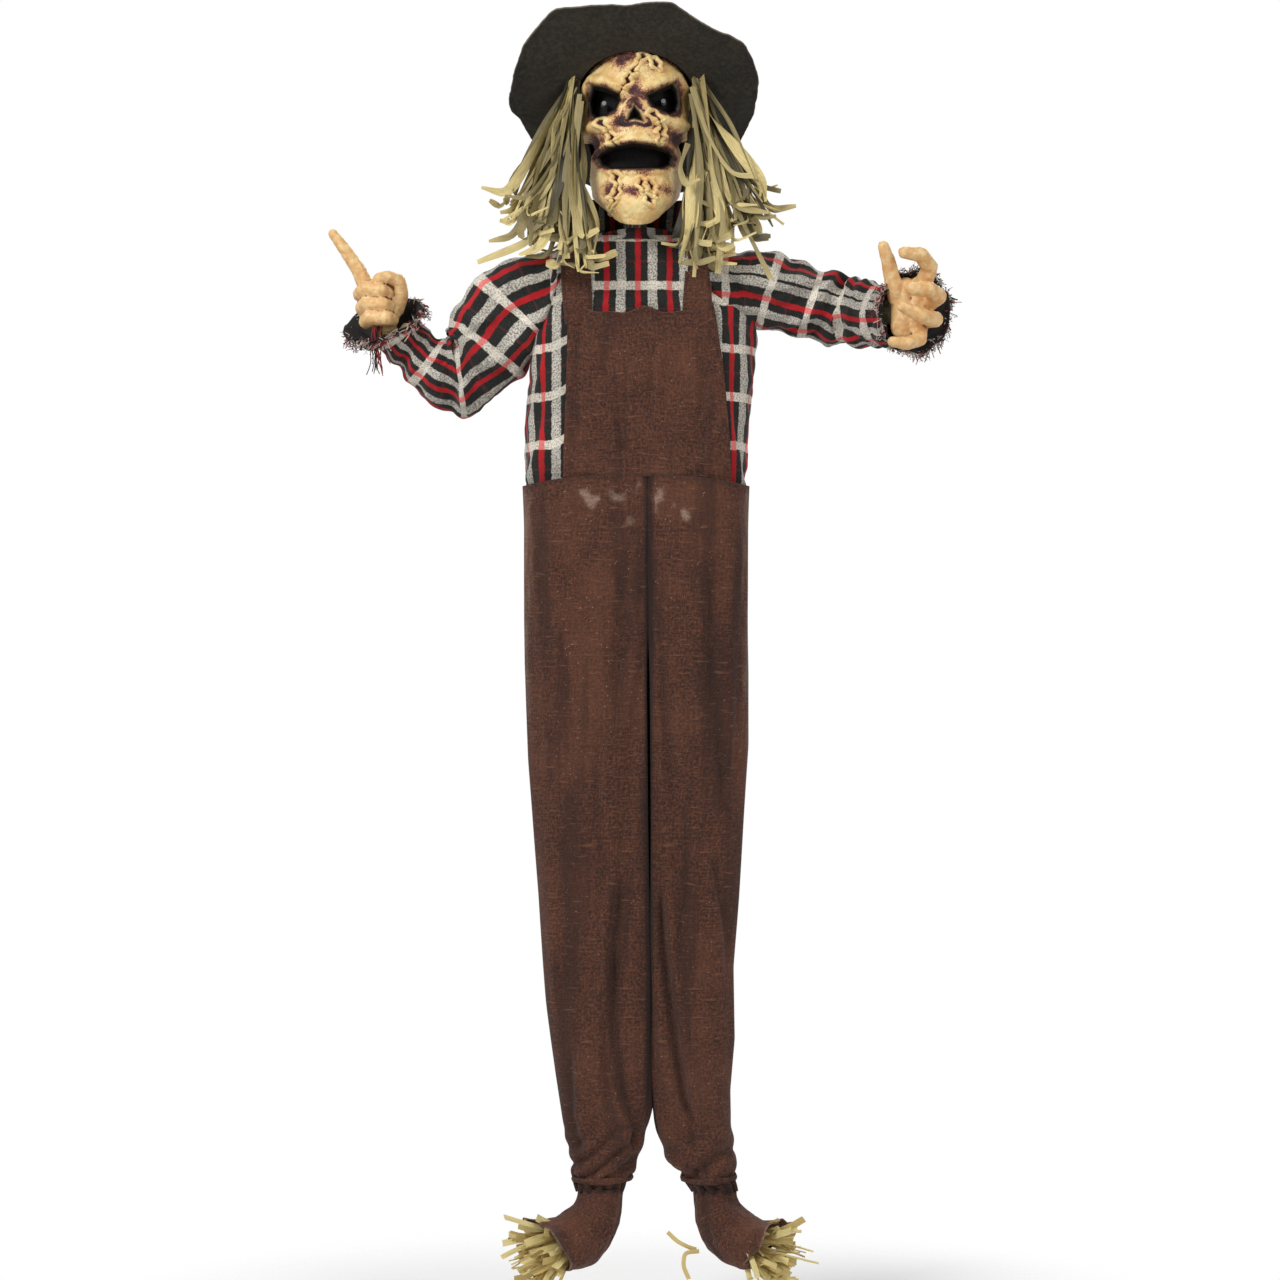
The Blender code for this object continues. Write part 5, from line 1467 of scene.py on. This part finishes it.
def mask_paint():
    """Cream latex with brown paint rubbed into its hollows, and painted shade, near black, on the sunken walls round
    the openings.
    """
    s = Shader("painted_latex")
    place = s.object_place()
    broad = s.noise(place, 55.0, 4.0, 0.6)
    fine = s.noise(place, 620.0, 3.0, 0.6)
    colour = s.mix(s.step(broad, 0.38, 0.66), srgb(230, 188, 122), srgb(248, 222, 158))
    wash_and_shade = s.plus(s.painted("wash_and_shade"), s.times(s.minus(fine, 0.5), 1.5))
    colour = s.mix(s.step(wash_and_shade, 0.10, 0.55), colour, srgb(192, 134, 92))
    colour = s.mix(s.step(wash_and_shade, 0.42, 0.74), colour, srgb(84, 42, 42))
    colour = s.mix(s.step(wash_and_shade, 0.85, 1.25), colour, srgb(34, 20, 18))
    # Painted shade: the sunken walls round the openings, near black.
    colour = s.mix(s.painted("dark"), colour, srgb(20, 15, 14))
    height = s.plus(broad, s.times(fine, 0.35))
    gloss = s.step(wash_and_shade, 0.2, 0.8, 0.46, 0.70)
    return s.finish(colour, gloss, s.bump(height, 0.0012, 0.5), Subsurface_Weight=0.04)


def hand_paint():
    """Soft plastic in the same cream, with painted shade, brown, in its creases and between the fingers."""
    s = Shader("painted_plastic")
    place = s.object_place()
    fine = s.noise(place, 110.0, 4.0, 0.5)
    wash_and_shade = s.plus(s.painted("wash_and_shade"), s.times(s.minus(fine, 0.5), 0.30))
    colour = s.mix(s.step(fine, 0.36, 0.70), srgb(222, 172, 112), srgb(240, 206, 150))
    # Painted shade: brown in the creases and between the fingers.
    colour = s.mix(s.step(wash_and_shade, 0.12, 0.80), colour, srgb(120, 70, 42))
    return s.finish(colour, 0.45, s.bump(fine, 0.0006, 0.4), Subsurface_Weight=0.04)


def felt():
    """Thick dark felt, matted, with a paler rubbed edge."""
    s = Shader("dark_felt")
    place = s.object_place()
    mat = s.noise(place, 160.0, 5.0, 0.7)
    hairs = s.noise(place, 900.0, 3.0, 0.6)
    broad = s.noise(place, 14.0, 3.0)
    colour = s.mix(s.step(mat, 0.35, 0.68), srgb(30, 27, 20), srgb(56, 50, 39))
    colour = s.mix(s.times(s.step(broad, 0.45, 0.75), 0.5), colour, srgb(64, 57, 44))
    wear_and_shade = s.painted("wear_and_shade")
    colour = s.mix(s.times(s.step(wear_and_shade, 0.25, 0.9), 0.75), colour, srgb(128, 114, 98))
    colour = s.mix(s.step(wear_and_shade, -0.15, -0.7, 0.0, 0.8), colour, srgb(20, 18, 18))
    return s.finish(colour, 0.95, s.bump(s.plus(mat, hairs), 0.0012, 0.6), Sheen_Weight=0.06)


def thread_yarn():
    """Loose threads of the flannel: black, red and white ones."""
    s = Shader("loose_threads")
    tone = s.painted("tone")
    grain = s.noise(s.object_place(), 1500.0, 2.0)
    colour = s.mix(s.step(tone, 0.2, 0.4), srgb(24, 22, 24), srgb(150, 30, 38))
    colour = s.mix(s.step(tone, 0.65, 0.8), colour, srgb(206, 196, 184))
    colour = s.mix(s.times(grain, 0.35), colour, srgb(60, 50, 48))
    return s.finish(colour, 0.85, s.bump(grain, 0.0003, 0.5))


def gauze():
    """Black net behind the openings of the mask."""
    s = Shader("black_net")
    place = s.object_place()
    holes = s.cells(place, 900.0)
    colour = s.mix(s.step(holes, 0.2, 0.5), srgb(30, 27, 26), srgb(9, 8, 8))
    return s.finish(colour, 0.9, s.bump(holes, 0.0006, 0.6))


def lamp():
    """The clear domed lens of a light, over its dull pale chip."""
    s = Shader("led_lens")
    grain = s.noise(s.object_place(), 500.0, 2.0)
    colour = s.mix(grain, srgb(128, 130, 130), srgb(186, 188, 188))
    return s.finish(colour, 0.12, s.bump(grain, 0.0001, 0.3), Transmission_Weight=0.25, IOR=1.5)


# ---------- the figure ----------

flannel = plaid()
brown = coarse_cloth(
    "brown_coarse_cloth",
    light=srgb(114, 70, 49), mid=srgb(88, 49, 33), dark=srgb(48, 25, 17), patch=srgb(128, 85, 60))
hood_cloth = coarse_cloth(
    "black_hood_cloth",
    light=srgb(44, 42, 42), mid=srgb(30, 28, 28), dark=srgb(16, 15, 15), patch=srgb(52, 50, 48))
lining = speckled("black_lining", srgb(34, 32, 32), srgb(16, 15, 16), 700.0, 0.85, 0.0006)
threads = thread_yarn()
raffia_fibre = fibre("raffia_fibre", srgb(238, 216, 148), srgb(154, 139, 92), srgb(50, 46, 32), 0.62)
straw_fibre = fibre("straw_fibre", srgb(238, 222, 156), srgb(212, 188, 118), srgb(150, 122, 70), 0.55)
painted_latex = mask_paint()
painted_plastic = hand_paint()
FINISHES = {
    "steel": speckled("wire_steel", srgb(176, 176, 180), srgb(120, 120, 124), 260.0, 0.38, 0.0002, metallic=1.0),
    "black_plastic": speckled("black_abs", srgb(34, 34, 36), srgb(22, 22, 24), 900.0, 0.45, 0.0003),
    "circuit_green": speckled("circuit_board", srgb(36, 110, 60), srgb(20, 70, 40), 300.0, 0.45, 0.0003),
    "battery_case": speckled("battery_sleeve", srgb(70, 72, 78), srgb(48, 50, 54), 220.0, 0.35, 0.0001, metallic=0.6),
    "foam": speckled("open_cell_foam", srgb(226, 214, 170), srgb(190, 174, 126), 420.0, 0.95, 0.0015),
    "plaid": flannel, "burlap": brown, "mask": painted_latex, "hand": painted_plastic, "hood": hood_cloth,
    "gauze": gauze(), "led": lamp(), "felt": felt(), "raffia": raffia_fibre, "straw": straw_fibre,
}

for node in NODES.values():
    slot = node.data.materials[0].name.split(".")[0]
    node.data.materials.clear()
    node.data.materials.append(FINISHES[slot])

for side in ("left", "right"):
    leg = trouser_leg(side, brown)
    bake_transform(leg)
    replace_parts(leg, "trouser_leg_" + side)
    if side == "left":
        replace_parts(leg, "trousers_hips")
    band = ankle_band(side, leg, brown)

shirt_body = shirt(flannel)
bib_piece = bib(brown)
straps = [strap("left", -0.0795, brown), strap("right", 0.0860, brown)]
collar_piece = collar(flannel)
for obj, node, name, flat in (
        (shirt_body, "shirt_body", "plaid", (0.55, 0.36)), (bib_piece, "bib", "burlap", (0.235, 0.245)),
        (straps[0], "strap_left", "burlap", (0.041, 0.62)), (straps[1], "strap_right", "burlap", (0.041, 0.62)),
        (collar_piece, "shirt_collar", "plaid", (0.40, 0.042))):
    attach(obj, "torso")
    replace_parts(obj, node)

for side in ("left", "right"):
    top, low, liner, fringe = sleeve(side, flannel, lining, threads)
    upper, fore = "upper_arm_" + side, "forearm_" + side
    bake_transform(top)
    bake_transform(low)
    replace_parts(top, "sleeve_upper_" + side)
    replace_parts(low, "sleeve_lower_" + side)
    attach(liner, fore)
    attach(fringe, fore)
    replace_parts(liner, "cuff_lining_" + side)

mask(painted_latex)
hood_piece = hood(hood_cloth)
hat_piece = hat(FINISHES["felt"])
moulded_hand("left", (-0.004, -0.008, -0.008), LEFT_HAND, painted_plastic)
moulded_hand("right", (-0.006, -0.006, -0.002), RIGHT_HAND, painted_plastic)
for side in ("left", "right"):
    raffia(side, raffia_fibre)
    stuffed, straw_piece = foot(side, brown, straw_fibre)


# ---------- the studio ----------

def studio():
    """A pale floor well below the hanging feet, a plain pale surround and soft light."""
    scene = bpy.context.scene
    scene.view_settings.view_transform = "Standard"
    world = bpy.data.worlds.new("pale_studio")
    world.use_nodes = True
    tree = world.node_tree
    seen = tree.nodes.new("ShaderNodeLightPath").outputs["Is Camera Ray"]
    strength = tree.nodes.new("ShaderNodeMapRange")
    tree.links.new(seen, strength.inputs["Value"])
    strength.inputs["To Min"].default_value = 0.50
    strength.inputs["To Max"].default_value = 1.0
    background = tree.nodes["Background"]
    background.inputs["Color"].default_value = (1, 1, 1, 1)
    tree.links.new(strength.outputs[0], background.inputs["Strength"])
    scene.world = world
    bpy.ops.mesh.primitive_circle_add(vertices=96, radius=0.9, fill_type="NGON", location=(0, 0, -1.80))
    floor = bpy.context.object
    floor.name = "studio_floor"
    s = Shader("pale_floor")
    place = s.object_place()
    far = s.add("VectorMath", {0: place}, 1, operation="LENGTH")
    surface = s.add("BsdfPrincipled", {"Base Color": (0.93, 0.93, 0.93, 1), "Roughness": 0.8})
    clear = s.add("BsdfTransparent", {})
    s.add_output(s.add("MixShader", {0: s.step(far, 0.45, 0.88), 1: surface, 2: clear}))
    floor.data.materials.append(s.material)
    for name, place, size, power in (
            ("key_light", (-2.2, -2.4, 1.5), 1.3, 85), ("fill_light", (2.6, -2.6, 0.2), 1.6, 30),
            ("back_light", (0.6, 2.6, 1.0), 1.6, 36)):
        data = bpy.data.lights.new(name, "AREA")
        data.size = size
        data.energy = power
        lamp_object = bpy.data.objects.new(name, data)
        scene.collection.objects.link(lamp_object)
        lamp_object.location = place
        towards = Vector((0, 0, -0.6)) - Vector(place)
        lamp_object.rotation_euler = towards.to_track_quat("-Z", "Y").to_euler()
    camera_data = bpy.data.cameras.new("view")
    camera_data.sensor_width = 36
    camera_data.lens = 102.65
    camera = bpy.data.objects.new("view", camera_data)
    camera.location = (0.0055, -5.0, -0.858)
    camera.rotation_euler = (math.pi / 2, 0, 0)
    scene.collection.objects.link(camera)
    scene.camera = camera


studio()
